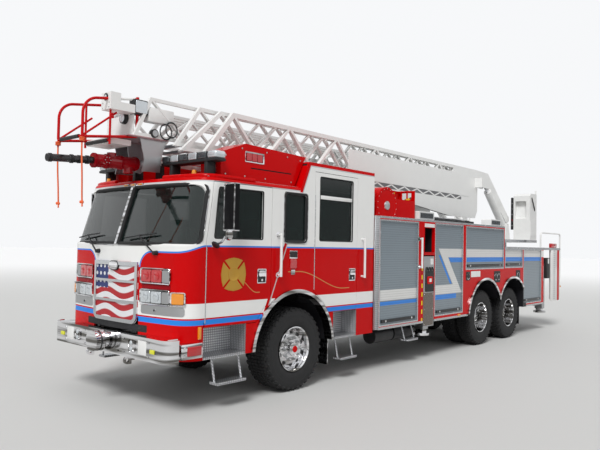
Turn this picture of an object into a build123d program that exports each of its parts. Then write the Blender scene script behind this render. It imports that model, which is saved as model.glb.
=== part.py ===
from build123d import *
import math
import os

os.makedirs("parts", exist_ok=True)

# Driving dimensions, in millimetres. The engine faces -Y and its left side is +X, the ground is
# z = 0, and y = 0 is the middle of its length from the nozzle tip to the rear rail.
tyre_radius = 537
front_tyre_width = 400
dual_tyre_width = 285
dual_gap = 40
wheel_face_x = 1170
front_axle_y = -3524
rear_axle_ys = (1980, 3320)
hub_z = tyre_radius
cab_half_width = 1220
cab_wall = 50
cab_bow_y = -5462
cab_bow_end_y = -5352
cab_corner_radius = 250
cab_lean = 0.313
sill_z = 1850
cab_front_y = -5390
cab_rear_y = -1857
cab_skirt_z = 600
cab_floor_z = 1060
cab_roof_z = 2640
pod_roof_z = 2990
pod_inner_x = 700
wheelhouse_z = 1350
wheelhouse_inner_x = 470
arch_middle_y = -3600
arch_radius = 750
belt_z = 1864
body_half_width = 1250
body_front_y = -1755
body_step_y = 2881
body_rear_y = 5120
body_bottom_z = 628
body_top_z = 2358
deck_z = 1940
rear_end_y = 6150
frame_half_width = 430
frame_bottom_z = 760
frame_top_z = 1010
turntable_y = 4400
heel_y = 4560
heel_z = 2600
stabilizer_ys = (-210, 5310)
object_half_length = 6350

both_sides = (("left", 1), ("right", -1))
tow_eye_radius = 22


def block(x, y, z, mode=Mode.ADD):
    middle = ((x[0] + x[1]) / 2, (y[0] + y[1]) / 2, (z[0] + z[1]) / 2)
    with Locations(middle):
        Box(abs(x[1] - x[0]), y[1] - y[0], z[1] - z[0], mode=mode)


def sided(side, x, y, z, mode=Mode.ADD):
    block((side * x[0], side * x[1]) if side > 0 else (side * x[1], side * x[0]), y, z, mode)


def bar(start, end, radius, mode=Mode.ADD):
    run = Vector(*end) - Vector(*start)
    with Locations(Plane(origin=(Vector(*start) + Vector(*end)) / 2, z_dir=run)):
        Cylinder(radius, run.length, mode=mode)


def bent_tube(points, bend, radius):
    with BuildLine(mode=Mode.PRIVATE) as route:
        FilletPolyline(*points, radius=bend)
    with BuildSketch(Plane(origin=route.line @ 0, z_dir=route.line % 0)) as section:
        Circle(radius)
    sweep(section.sketch, path=route.line)


def side_prism(outline, side, x, corner=0, mode=Mode.ADD):
    with BuildSketch(Plane.YZ.offset(side * x[0])) as section:
        with BuildLine():
            Polyline(*outline, close=True)
        make_face()
        if corner:
            fillet(section.vertices(), corner)
    extrude(section.sketch, amount=side * (x[1] - x[0]), mode=mode)


def tow_eye(side, x, root_y, direction, z):
    eye_y = root_y + direction * 50
    sided(side, (x - 15, x + 15), sorted((root_y, eye_y)), (z - 45, z + 45))
    bar((side * (x - 15), eye_y, z), (side * (x + 15), eye_y, z), 45)
    bar((side * (x - 20), eye_y, z), (side * (x + 20), eye_y, z), tow_eye_radius, Mode.SUBTRACT)


def write(piece, label):
    piece.part.label = label
    export_step(piece.part, f"parts/{label}.step")


# Chassis: two channel rails with cross members, and the sleeves of the stabilizers below them
sleeve_z = (545, 715)
beam_pitch = 160
beam_half_depth = 72
with BuildPart() as frame_rails:
    for label, side in both_sides:
        channel_z = (frame_bottom_z + 12, frame_top_z - 12)
        sided(side, (350, frame_half_width), (cab_front_y, 6090), (frame_bottom_z, frame_top_z))
        sided(side, (340, frame_half_width - 12), (-5370, 6100), channel_z, Mode.SUBTRACT)
    for y in (-5340, -1900, -900, 700, 1300, 2650, 3950, 6000):
        block((-420, 420), (y, y + 70), (frame_bottom_z + 100, frame_top_z - 30))
    for middle_y in stabilizer_ys:
        block((-760, 760), (middle_y - beam_pitch, middle_y + beam_pitch), sleeve_z)
        for lane_y in (middle_y - beam_pitch / 2, middle_y + beam_pitch / 2):
            lane = (lane_y - beam_half_depth - 3, lane_y + beam_half_depth + 3)
            block((-800, 800), lane, (sleeve_z[0] + 12, sleeve_z[1] - 12), Mode.SUBTRACT)
        for label, side in both_sides:
            sided(side, (360, 420), (middle_y - 60, middle_y + 60), (sleeve_z[1], frame_bottom_z + 5))
    for label, side in both_sides:
        tow_eye(side, 405, 6088, 1, 850)
write(frame_rails, "frame_rails")

# Front axle: a dropped beam on two leaf springs, ending at the king pins
kingpin_x = 900
with BuildPart() as front_axle:
    with BuildSketch(Plane.XZ.offset(-front_axle_y)) as beam_outline:
        with BuildLine():
            Polyline(
                (-815, 590), (-560, 590), (-500, 500), (500, 500), (560, 590), (815, 590),
                (815, 480), (600, 480), (520, 395), (-520, 395), (-600, 480), (-815, 480), close=True,
            )
        make_face()
    extrude(amount=50, both=True)
    for label, side in both_sides:
        sided(side, (340, 430), (front_axle_y - 60, front_axle_y + 60), (500, 640))
        with BuildSketch(Plane.YZ.offset(side * 345)) as leaves:
            with BuildLine():
                ThreePointArc((front_axle_y - 720, 715), (front_axle_y, 600), (front_axle_y + 720, 715))
                Line((front_axle_y + 720, 715), (front_axle_y + 720, 755))
                ThreePointArc((front_axle_y + 720, 755), (front_axle_y, 680), (front_axle_y - 720, 755))
                Line((front_axle_y - 720, 755), (front_axle_y - 720, 715))
            make_face()
        extrude(amount=side * 80)
        for y in (front_axle_y - 720, front_axle_y + 690):
            sided(side, (350, 420), (y, y + 30), (715, frame_bottom_z))
write(front_axle, "front_axle")

# Rear axles: a housing with its final drive, leaf springs, and the shaft between the axles
dual_inner_x = wheel_face_x - 2 * dual_tyre_width - dual_gap
with BuildPart() as rear_axles:
    for axle_y in rear_axle_ys:
        bar((-dual_inner_x - 35, axle_y, hub_z), (dual_inner_x + 35, axle_y, hub_z), 85)
        with Locations((0, axle_y, hub_z)):
            Sphere(215)
    bar((0, rear_axle_ys[0], hub_z + 40), (0, rear_axle_ys[1], hub_z + 40), 50)
    bar((0, -2097, 765), (0, 300, 790), 50)
    bar((0, 300, 790), (0, rear_axle_ys[0], hub_z + 60), 50)
    for label, side in both_sides:
        sided(side, (355, 425), (rear_axle_ys[0] - 250, rear_axle_ys[1] + 250), (640, 735))
        for axle_y in rear_axle_ys:
            sided(side, (355, 425), (axle_y - 70, axle_y + 70), (560, 650))
        sided(side, (360, 420), (2560, 2740), (640, frame_bottom_z))
write(rear_axles, "rear_axles")

# Engine: one plain block between the rails, under the cover in the cab
with BuildPart() as engine:
    block((-330, 330), (-4700, -3200), (700, 1500))
    for label, side in both_sides:
        for y in (-4500, -3500):
            sided(side, (325, 350), (y, y + 100), (frame_bottom_z, frame_top_z))
    bar((0, -3200, 800), (0, -2100, 760), 190)
write(engine, "engine")

# Air and fuel tanks hung outside the rails
tank_rows = (  # name, side, front y, rear y, middle x, middle z, radius
    ("fuel", -1, -1700, -700, 860, 480, 140),
    ("air_front", 1, -1560, -1050, 960, 490, 120),
    ("air_rear", 1, -1010, -450, 960, 490, 120),
)
with BuildPart() as tanks:
    for name, side, front, rear, x, z, radius in tank_rows:
        bar((side * x, front, z), (side * x, rear, z), radius)
        for y in (front + 90, rear - 130):
            sided(side, (x - 40, x + 40), (y, y + 40), (z + radius - 20, body_bottom_z))
write(tanks, "tanks")

# Wheels, each a tyre and its rim: the tyre's section turned about the axle
rim_flange = 292


def tyre(face_x, width):
    inner = rim_flange
    shoulder = tyre_radius - 45
    with BuildSketch(Plane.XY) as section:
        with BuildLine():
            Polyline(
                (face_x - 25, inner), (face_x, inner + 70), (face_x - 12, shoulder),
                (face_x - 45, tyre_radius),
                (face_x - width + 45, tyre_radius), (face_x - width + 12, shoulder),
                (face_x - width, inner + 70), (face_x - width + 25, inner), close=True,
            )
        make_face()
    revolve(section.sketch, axis=Axis.X)


with BuildPart() as front_tyre:
    tyre(wheel_face_x, front_tyre_width)
with BuildPart() as front_rim:
    with BuildSketch(Plane.XY):
        with BuildLine():
            Polyline(
                (1150, 290.5), (1150, 262), (1040, 235), (1010, 120), (1090, 110), (1105, 90), (1105, 0),
                (975, 0), (975, 130), (985, 240), (800, 262), (800, 290.5), close=True,
            )
        make_face()
    revolve(axis=Axis.X)
with BuildPart() as dual_tyres:
    tyre(wheel_face_x, dual_tyre_width)
    tyre(wheel_face_x - dual_tyre_width - dual_gap, dual_tyre_width)
with BuildPart() as dual_rims:
    with BuildSketch(Plane.XY):
        with BuildLine():
            Polyline(
                (1150, 290.5), (1150, 262), (935, 245), (905, 130), (980, 120), (1000, 95), (1000, 0),
                (600, 0), (600, 150), (840, 150), (860, 245), (580, 262), (580, 290.5), close=True,
            )
        make_face()
    revolve(axis=Axis.X)

front_wheel_parts = (front_tyre, front_rim)
rear_wheel_parts = (dual_tyres, dual_rims)
wheel_rows = [("front_wheel", front_axle_y, front_wheel_parts)]
wheel_rows += [(f"rear_wheel_{i + 1}", y, rear_wheel_parts) for i, y in enumerate(rear_axle_ys)]
for name, axle_y, pieces in wheel_rows:
    for label, side in both_sides:
        with BuildPart() as wheel:
            with Locations((0, axle_y, hub_z)):
                for piece in pieces:
                    add(piece.part if side > 0 else mirror(piece.part, about=Plane.YZ, mode=Mode.PRIVATE))
        write(wheel, f"{name}_{label}")

# Steering knuckles on the king pins
for label, side in both_sides:
    with BuildPart() as knuckle:
        bar((side * kingpin_x, front_axle_y, 425), (side * kingpin_x, front_axle_y, 655), 60)
        bar((side * kingpin_x, front_axle_y, hub_z), (side * 965, front_axle_y, hub_z), 110)
    write(knuckle, f"knuckle_{label}")

# Cab: the whole skin first, from which the doors are cut
# The front is bowed with round corners, upright to the windshield's sill and leaning back above it.
inner_x = cab_half_width - cab_wall


def cab_plan(inset, z):
    half = cab_half_width - inset
    corner_y = cab_bow_end_y + inset
    with BuildSketch(Plane.XY.offset(z)) as plan:
        with BuildLine():
            ThreePointArc((-half, corner_y), (0, cab_bow_y + inset), (half, corner_y))
            Polyline((half, corner_y), (half, cab_rear_y), (-half, cab_rear_y), (-half, corner_y))
        make_face()
        fillet(plan.vertices().group_by(Axis.Y)[0], cab_corner_radius - inset)
    return plan.sketch


def cab_form(inset, low, high, mode=Mode.ADD):
    if low < sill_z:
        extrude(cab_plan(inset, low), amount=min(sill_z, high) - low, mode=mode)
    if high > sill_z:
        run = Vector(0, cab_lean, 1) * (high - sill_z)
        extrude(cab_plan(inset, sill_z), amount=run.length, dir=run.normalized(), mode=mode)


with BuildPart() as cab_solid:
    cab_form(0, cab_skirt_z, cab_roof_z)
    block((-1300, 1300), (cab_rear_y, -1500), (sill_z - 1, cab_roof_z + 1), Mode.SUBTRACT)
    fillet([e for e in cab_solid.faces().sort_by(Axis.Z)[-1].edges() if e.center().Y < cab_rear_y - 1], 40)

room_rows = (  # inner x, outer x, front y, rear y, bottom z, top z
    (0, inner_x, -5600, cab_rear_y - cab_wall, 1700, cab_roof_z - cab_wall),
    (0, inner_x, -2700, cab_rear_y - cab_wall, cab_floor_z, 1750),
    (480, inner_x, -5600, -4450, cab_floor_z, 1750),
    (480, inner_x, -4500, -2690, wheelhouse_z, 1750),
    (wheelhouse_inner_x, inner_x, -5600, -4410, 500, cab_floor_z - cab_wall),
    (0, wheelhouse_inner_x - 30, -5600, -2760, 500, 1640),
)
with BuildPart() as cab_rooms:
    for inner, outer, front, rear, bottom, top in room_rows:
        for label, side in both_sides:
            sided(side, (inner, outer), (front, rear), (bottom, top))
with BuildPart() as cab_room:
    cab_form(cab_wall, 500, cab_roof_z - cab_wall)
    add(cab_rooms.part, mode=Mode.INTERSECT)

pod_outline = (
    (-3548, cab_roof_z - 80), (-3530, cab_roof_z - 30), (-3370, pod_roof_z),
    (cab_rear_y, pod_roof_z), (cab_rear_y, cab_roof_z - 80),
)
with BuildPart() as cab_skin:
    add(cab_solid.part)
    for label, side in both_sides:
        side_prism(pod_outline, side, (pod_inner_x, cab_half_width))
    add(cab_room.part, mode=Mode.SUBTRACT)
    for label, side in both_sides:
        pod_x = (pod_inner_x + cab_wall, inner_x)
        pod_y = (-3340, cab_rear_y - cab_wall)
        sided(side, pod_x, pod_y, (2500, pod_roof_z - cab_wall), Mode.SUBTRACT)
        with BuildSketch(Plane.YZ.offset(side * wheelhouse_inner_x)) as arch:
            with Locations((arch_middle_y, hub_z)):
                Circle(arch_radius)
        extrude(amount=side * 900, mode=Mode.SUBTRACT)
    open_half = wheelhouse_inner_x + 1
    block((-inner_x, inner_x), (-2850, cab_rear_y + 1), (500, cab_floor_z - cab_wall), Mode.SUBTRACT)
    block((-open_half, open_half), (cab_bow_y - 1, -2700), (500, frame_top_z + 20), Mode.SUBTRACT)

# Cab openings, each outline in side view as (y, z)
seam = 7
door_rows = (  # name, door outline, window outline, hinge y, hinge bottom and top z
    ("front_door",
     ((-5095, 955), (-5095, 1890), (-4990, 2585), (-4066, 2585), (-4066, 955)),
     ((-4985, 1946), (-4925, 2525), (-4215, 2525), (-4215, 1946)), -5095, (1000, 1860)),
    ("crew_door",
     ((-3235, 980), (-3235, 2869), (-2279, 2869), (-2279, 980)),
     ((-3135, 1950), (-3135, 2812), (-2392, 2812), (-2392, 1950)), -3235, (1300, 2560)),
)
small_window = ((-3819, 1929), (-3819, 2542), (-3413, 2542), (-3413, 1929))
windshield_pane = ((-5700, 1872), (-5188, 1872), (-5060, 2545), (-5700, 2545))
step_wells = ((-5113, -4463), (-2812, -2264))


def door_prism(outline, arch, side, x, mode):
    with BuildSketch(Plane.YZ.offset(side * x[0])) as section:
        with BuildLine():
            Polyline(*outline, close=True)
        make_face()
        with Locations((arch_middle_y, hub_z)):
            Circle(arch, mode=Mode.SUBTRACT)
    extrude(section.sketch, amount=side * (x[1] - x[0]), mode=mode)


def grown(outline, amount):
    middle_y = (min(y for y, z in outline) + max(y for y, z in outline)) / 2
    middle_z = (min(z for y, z in outline) + max(z for y, z in outline)) / 2
    away = [(math.copysign(1, y - middle_y), math.copysign(1, z - middle_z)) for y, z in outline]
    return [(y + amount * out_y, z + amount * out_z) for (y, z), (out_y, out_z) in zip(outline, away)]


with BuildPart() as cab_shell:
    add(cab_skin.part)
    for label, side in both_sides:
        for name, door, window, hinge_y, hinge_z in door_rows:
            door_prism(grown(door, seam), arch_radius + 65 - seam, side, (inner_x - 1, 1400), Mode.SUBTRACT)
        side_prism(small_window, side, (1100, 1400), 60, Mode.SUBTRACT)
        for front, rear in step_wells:
            well_z = (cab_skirt_z - 10, cab_floor_z - cab_wall)
            sided(side, (inner_x - 1, 1400), (front, rear), well_z, Mode.SUBTRACT)
        side_prism(windshield_pane, side, (28, 1400), 95, Mode.SUBTRACT)
        rear_pane = (cab_rear_y - 80, cab_rear_y + 10)
        sided(side, (pod_inner_x + 60, inner_x - 60), rear_pane, (1950, 2500), Mode.SUBTRACT)
write(cab_shell, "cab_shell")

for name, door, window, hinge_y, hinge_z in door_rows:
    for label, side in both_sides:
        with BuildPart() as leaf:
            add(cab_skin.part)
            door_prism(door, arch_radius + 65, side, (inner_x, 1300), Mode.INTERSECT)
            side_prism(window, side, (1100, 1300), 25, Mode.SUBTRACT)
            hinge_x = side * cab_half_width
            bar((hinge_x, hinge_y, hinge_z[0]), (hinge_x, hinge_y, hinge_z[1]), 6.5)
            if name == "front_door":
                bar((side * 1195, -5020, 1846), (side * 1330, -4970, 1905), 16)
                bar((side * 1330, -4970, 1905), (side * 1400, -4900, 2060), 14)
                sided(side, (1330, 1490), (-4935, -4865), (2040, 2550))
        write(leaf, f"{name}_{label}")
        with BuildPart() as pane:
            side_prism(grown(window, -1), side, (1192, 1198), 30)
        write(pane, f"{name}_glass_{label}")

# Glass that doesn't move
with BuildPart() as pane_prisms:
    for label, side in both_sides:
        side_prism(grown(windshield_pane, -1), side, (29, 1400), 96)
with BuildPart() as windshield:
    cab_form(22, sill_z - 20, cab_roof_z)
    cab_form(30, sill_z - 20, cab_roof_z, Mode.SUBTRACT)
    add(pane_prisms.part, mode=Mode.INTERSECT)
write(windshield, "windshield")

with BuildPart() as cab_glass:
    for label, side in both_sides:
        side_prism(grown(small_window, -1), side, (1192, 1198), 66)
        sided(side, (pod_inner_x + 61, inner_x - 61), (cab_rear_y - 26, cab_rear_y - 20), (1951, 2499))
write(cab_glass, "cab_glass")

# Nose: grille, lamp bezels, and the wrapped bumper with its siren
grille_size = (910, 710)
grille_z = 1300
bar_zs = (1190, 1425)
with BuildPart() as grille_panel:
    with BuildSketch(Plane.XZ.offset(5300)) as panel:
        with Locations((0, grille_z)):
            Rectangle(*grille_size)
        fillet(panel.vertices().group_by(Axis.Y)[0], 90)
    extrude(amount=400)
with BuildPart() as grille_windows:
    with BuildSketch(Plane.XZ.offset(5300)) as windows:
        with Locations((0, grille_z)):
            Rectangle(grille_size[0] - 90, grille_size[1] - 90)
        fillet(windows.vertices().group_by(Axis.Y)[0], 50)
        with Locations(*[(0, z) for z in bar_zs]):
            Rectangle(grille_size[0], 30, mode=Mode.SUBTRACT)
    extrude(amount=400)
with BuildPart() as grille:
    cab_form(-24, 900, 1700)
    add(grille_panel.part, mode=Mode.INTERSECT)
    cab_form(-0.3, 900, 1700, Mode.SUBTRACT)
    add(grille_windows.part, mode=Mode.SUBTRACT)
with BuildPart() as grille_mesh:
    cab_form(-8, 900, 1700)
    add(grille_panel.part, mode=Mode.INTERSECT)
    cab_form(-0.3, 900, 1700, Mode.SUBTRACT)
with BuildPart() as grille_whole:
    add(grille.part)
    add(grille_mesh.part)
write(grille_whole, "grille")

bezel_rows = (  # inner x, outer x, bottom z, top z
    (508, 992, 1350, 1580),
    (508, 992, 1080, 1310),
    (1006, 1168, 1185, 1300),
)
with BuildPart() as bezel_prisms:
    for label, side in both_sides:
        with BuildSketch(Plane.XZ.offset(5200)) as bezels:
            for inner, outer, bottom, top in bezel_rows:
                with Locations((side * (inner + outer) / 2, (bottom + top) / 2)):
                    RectangleRounded(outer - inner, top - bottom, 30)
        extrude(amount=400)
with BuildPart() as lamp_bezels:
    cab_form(-20, 1000, 1700)
    add(bezel_prisms.part, mode=Mode.INTERSECT)
    cab_form(-0.3, 1000, 1700, Mode.SUBTRACT)
write(lamp_bezels, "lamp_bezels")

bumper_front_y = -5590
bumper_half_width = 1225
bumper_wing_y = -5440
bumper_z = (600, 850)
siren_z = 738
with BuildPart() as front_bumper:
    for half, front, back, corner, mode in (
        (bumper_half_width, bumper_front_y, bumper_wing_y, 145, Mode.ADD),
        (bumper_half_width - 14, bumper_front_y + 14, bumper_wing_y + 30, 131, Mode.SUBTRACT),
    ):
        with BuildSketch(Plane.XY.offset(bumper_z[0])) as plan:
            with BuildLine():
                Polyline((-half, back), (-half, front), (half, front), (half, back), close=True)
            make_face()
            fillet(plan.vertices().group_by(Axis.Y)[0], corner)
        extrude(amount=bumper_z[1] - bumper_z[0], mode=mode)
    block((-1120, 1120), (bumper_front_y + 10, -5380), (bumper_z[1] - 14, bumper_z[1]))
    cab_form(-2, 590, 860, Mode.SUBTRACT)
    for label, side in both_sides:
        sided(side, (355, frame_half_width - 5), (bumper_front_y + 10, cab_front_y), (640, bumper_z[1] - 10))
        sided(side, (385, 415), (bumper_front_y + 30, -5440), (540, 650))
        tow_eye(side, 400, -5480, -1, 545)
    bar((0, bumper_front_y + 5, siren_z), (0, bumper_front_y - 60, siren_z), 90)
    bar((0, bumper_front_y - 40, siren_z), (0, bumper_front_y - 150, siren_z), 118)
write(front_bumper, "front_bumper")

# Steps: a well below each door with a hanging step, and one below the body
hanging_steps = (  # front y, rear y, top of the hangers, top of the tread
    (-4905, -4465, cab_skirt_z, 322),
    (-2640, -2270, cab_skirt_z, 322),
    (-880, -560, body_bottom_z, 400),
)
with BuildPart() as cab_steps:
    for label, side in both_sides:
        for front, rear in step_wells:
            sided(side, (950, cab_half_width - 5), (front + 2, rear - 2), (cab_skirt_z, 625))
            sided(side, (930, 950), (front + 2, rear - 2), (cab_skirt_z, cab_floor_z - cab_wall))
        for front, rear, hanger_top, tread in hanging_steps:
            for y in (front + 15, rear - 15):
                bar((side * 1100, y, hanger_top - 5), (side * 1170, y, tread - 15), 13)
            sided(side, (1100, 1240), (front, rear), (tread - 30, tread))
            sided(side, (1060, 1140), (front, rear), (hanger_top - 22, hanger_top))
write(cab_steps, "cab_steps")

# Fenders: the bright ring round each arch, and the flaps behind the wheels
ring_outer = 782
ring_inner = 736
rear_arch_radius = 755
well_rear_y = 3885
with BuildPart() as fenders:
    for label, side in both_sides:
        for inner, outer, x in (
            (ring_inner, ring_outer, (cab_half_width, 1250)),
            (ring_inner, arch_radius - 0.3, (1120, cab_half_width)),
        ):
            with BuildSketch(Plane.YZ.offset(side * x[0])) as front_ring:
                with Locations((arch_middle_y, hub_z)):
                    Circle(outer)
                    Circle(inner, mode=Mode.SUBTRACT)
                with Locations((arch_middle_y, 0)):
                    Rectangle(2000, 1210, mode=Mode.SUBTRACT)
            extrude(amount=side * (x[1] - x[0]))
        with BuildSketch(Plane.YZ.offset(side * body_half_width)) as rear_ring:
            with Locations(*[(y, hub_z) for y in rear_axle_ys]):
                Circle(ring_outer)
            with Locations(*[(y, hub_z) for y in rear_axle_ys]):
                Circle(ring_inner, mode=Mode.SUBTRACT)
            with Locations((2650, 0)):
                Rectangle(4000, 1300, mode=Mode.SUBTRACT)
            with Locations((well_rear_y + 500, 1000)):
                Rectangle(1000, 2000, mode=Mode.SUBTRACT)
        extrude(amount=side * 28)
        sided(side, (800, 1160), (-2850, -2838), (250, 1000))
        sided(side, (560, 1160), (3895, 3905), (250, body_bottom_z))
write(fenders, "fenders")

# Cab inside: seats, and the dashboard with the steering wheel
seat_rows = (  # x, back face y, foot z
    (760, -3860, wheelhouse_z),
    (-760, -3860, wheelhouse_z),
    (860, -1925, cab_floor_z),
    (290, -1925, cab_floor_z),
    (-290, -1925, cab_floor_z),
    (-860, -1925, cab_floor_z),
)
with BuildPart() as seats:
    for x, back_y, foot_z in seat_rows:
        base_top = foot_z + (90 if foot_z > cab_floor_z else 320)
        block((x - 180, x + 180), (back_y - 480, back_y - 60), (foot_z, base_top))
        block((x - 240, x + 240), (back_y - 560, back_y - 40), (base_top, base_top + 120))
        block((x - 240, x + 240), (back_y - 150, back_y - 20), (base_top + 100, base_top + 820))
write(seats, "seats")

with BuildPart() as dashboard:
    block((-1150, 1150), (-5450, -5020), (1700, 1835))
    for label, side in both_sides:
        sided(side, (480, 1150), (-5450, -5080), (1500, 1705))
    with BuildSketch(Plane.YZ) as slope:
        with BuildLine():
            Polyline((-5100, 1840), (-5015, 1840), (-5015, 1770), close=True)
        make_face()
    extrude(slope.sketch, amount=1200, both=True, mode=Mode.SUBTRACT)
    cab_form(cab_wall + 2, 1490, 1845, Mode.INTERSECT)
    bar((700, -5040, 1780), (700, -4890, 1860), 35)
    with Locations(Plane(origin=(700, -4880, 1866), z_dir=(0, 1, 0.55))):
        Torus(225, 15)
        Box(430, 36, 14)
        Cylinder(50, 30)
write(dashboard, "dashboard")

# Roof: the light boxes beside the ladder, the light bars, and the cradle that the ladder beds on
with BuildPart() as roof_boxes:
    for label, side in both_sides:
        side_prism(
            ((-4830, cab_roof_z), (-4830, 2950), (-4444, 3094), (-3330, 3060), (-3378, pod_roof_z),
             (-3560, cab_roof_z)), side, (760, 1120))
write(roof_boxes, "roof_boxes")

with BuildPart() as light_bars:
    for label, side in both_sides:
        with BuildSketch(Plane.XZ.offset(4838)) as lens:
            with Locations((side * 715, 2885)):
                RectangleRounded(1030, 120, 40)
        extrude(amount=165)
        for x in (360, 1010):
            sided(side, (x, x + 60), (-4990, -4860), (cab_roof_z, 2826))
write(light_bars, "light_bars")

ladder_bottom_z = 2940
with BuildPart() as ladder_cradle:
    block((-610, 610), (-4500, -4420), (cab_roof_z, 2720))
    for label, side in both_sides:
        sided(side, (520, 610), (-4500, -4420), (cab_roof_z, ladder_bottom_z - 6))
write(ladder_cradle, "ladder_cradle")

# Body: side compartments round a central tunnel, wells over the twin wheels, deck at the rear
compartments = (  # front y, rear y, bottom z, top z
    (-1710, -612, 698, 2285),
    (-19, 992, 730, 2292),
    (1146, 2825, 1510, 2280),
    (2930, 3830, 1515, 1868),
    (3925, 4951, 715, 1868),
)
compartment_inner_x = 650
tunnel_z = (1345, body_top_z - 50)
leg_bay_y = (-425, -45)
leg_half = 85
rail_radius = 19
with BuildPart() as body_shell:
    block((-body_half_width, body_half_width), (body_front_y, body_step_y), (body_bottom_z, body_top_z))
    block((-body_half_width, body_half_width), (body_step_y, body_rear_y), (body_bottom_z, deck_z))
    block((-body_half_width, body_half_width), (body_rear_y, 6260), (deck_z - 55, deck_z))
    block((-780, 780), (body_rear_y, rear_end_y), (frame_top_z, deck_z - 50))
    with Locations((0, turntable_y, deck_z + 50)):
        Cylinder(600, 110)
    block((-445, 445), (body_front_y - 1, rear_end_y + 1), (500, frame_top_z), Mode.SUBTRACT)
    block((-600, 600), (body_front_y + 50, body_step_y - 50), tunnel_z, Mode.SUBTRACT)
    block((-600, 600), (body_step_y - 60, rear_end_y + 1), (tunnel_z[0], deck_z - 60), Mode.SUBTRACT)
    for label, side in both_sides:
        for front, rear, bottom, top in compartments:
            sided(side, (compartment_inner_x, 1300), (front, rear), (bottom, top), Mode.SUBTRACT)
        with BuildSketch(Plane.YZ.offset(side * 445)) as wells:
            with Locations(*[(y, hub_z) for y in rear_axle_ys]):
                Circle(rear_arch_radius)
            with Locations((well_rear_y + 500, 1000)):
                Rectangle(1000, 2000, mode=Mode.SUBTRACT)
        extrude(amount=side * 900, mode=Mode.SUBTRACT)
        sided(side, (440, 1300), leg_bay_y, (500, 760), Mode.SUBTRACT)
        sided(side, (880, 1300), leg_bay_y, (500, 1760), Mode.SUBTRACT)
        sided(side, (1000, 1300), (-400, -70), (1810, 2220), Mode.SUBTRACT)
write(body_shell, "body_shell")

with BuildPart() as roll_up_doors:
    for label, side in both_sides:
        for front, rear, bottom, top in compartments:
            sided(side, (1200, 1225), (front, rear), (bottom, top))
            sided(side, (1222, 1246), (front + 60, rear - 60), (bottom + 25, bottom + 75))
    block((-600, 600), (6090, 6115), (tunnel_z[0], deck_z - 60))
write(roll_up_doors, "roll_up_doors")

reel_middle = (-1405, 2535)
reel_radius = 290
with BuildPart() as hose_reel:
    with BuildSketch(Plane.YZ.offset(800)) as dome:
        with Locations(reel_middle):
            Circle(reel_radius)
        with Locations((reel_middle[0], (body_top_z + reel_middle[1]) / 2)):
            Rectangle(2 * reel_radius, reel_middle[1] - body_top_z)
        with Locations((reel_middle[0], body_top_z - 150)):
            Rectangle(2 * reel_radius + 100, 300, mode=Mode.SUBTRACT)
    extrude(amount=350)
    tray = (reel_middle[0] + reel_radius - 5, -510)
    block((800, 1120), tray, (body_top_z, 2660))
    block((800, 824), (tray[0], tray[1]), (2640, 2835))
    block((800, 1120), (tray[1] - 24, tray[1]), (2640, 2835))
    block((824, 1096), (tray[0] + 20, tray[1] - 24), (body_top_z + 30, 2850), Mode.SUBTRACT)
    block((860, 1060), (tray[1] - 30, tray[1] + 6), (2690, 2800), Mode.SUBTRACT)
    for x in (890, 1000):
        bar((x, tray[1] - 60, 2640), (x, tray[1] - 60, 2835), 14)
    for z in (2660, 2820):
        bar((840, tray[1] - 60, z), (1080, tray[1] - 60, z), 14)
    bar((960, tray[0] + 15, 2560), (960, tray[1] - 110, 2560), 60)
    block((900, 1020), (tray[0] + 190, tray[0] + 210), (body_top_z + 10, 2560))
write(hose_reel, "hose_reel")

lamp_rows = (  # front y, rear y, top z
    (-450, 60, 2500),
    (2380, 2860, 2490),
)
with BuildPart() as scene_lamps:
    for label, side in both_sides:
        for front, rear, top in lamp_rows:
            with BuildSketch(Plane.YZ.offset(side * 960)) as case:
                with Locations(((front + rear) / 2, (body_top_z + top) / 2)):
                    RectangleRounded(rear - front, top - body_top_z, 20)
            extrude(amount=side * 210)
write(scene_lamps, "scene_lamps")

with BuildPart() as access_ladder:
    for y in (5690, 6215):
        block((1180, 1245), (y, y + 35), (700, deck_z - 55))
    for i in range(5):
        block((1185, 1240), (5720, 6220), (740 + 265 * i, 765 + 265 * i))
write(access_ladder, "access_ladder")

# Handrails: grab rails on cab and body, and the hoops round the rear deck
grab_rows = (  # y, bottom z, top z, wall x
    (-3946, 1490, 2030, cab_half_width),
    (-2160, 1430, 2010, cab_half_width),
    (-575, 1545, 2050, body_half_width),
)
with BuildPart() as handrails:
    for label, side in both_sides:
        for y, low, high, wall in grab_rows:
            bar((side * (wall + 60), y, low), (side * (wall + 60), y, high), 17)
            for z in (low + 20, high - 20):
                bar((side * wall, y, z), (side * (wall + 62), y, z), 14)
        hoop_y = object_half_length - rail_radius
        lower = [(side * 1215, hoop_y, 1160), (side * 1215, 6250, 1160)]
        upper = [(side * 1215, 6225, 2290), (side * 1215, 6225, deck_z)]
        tail = [(side * 1215, hoop_y, 2290)] + lower if side > 0 else upper
        bent_tube([(side * 1215, 5020, deck_z), (side * 1215, 5020, 2290)] + tail, 70, rail_radius)
write(handrails, "handrails")

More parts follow.
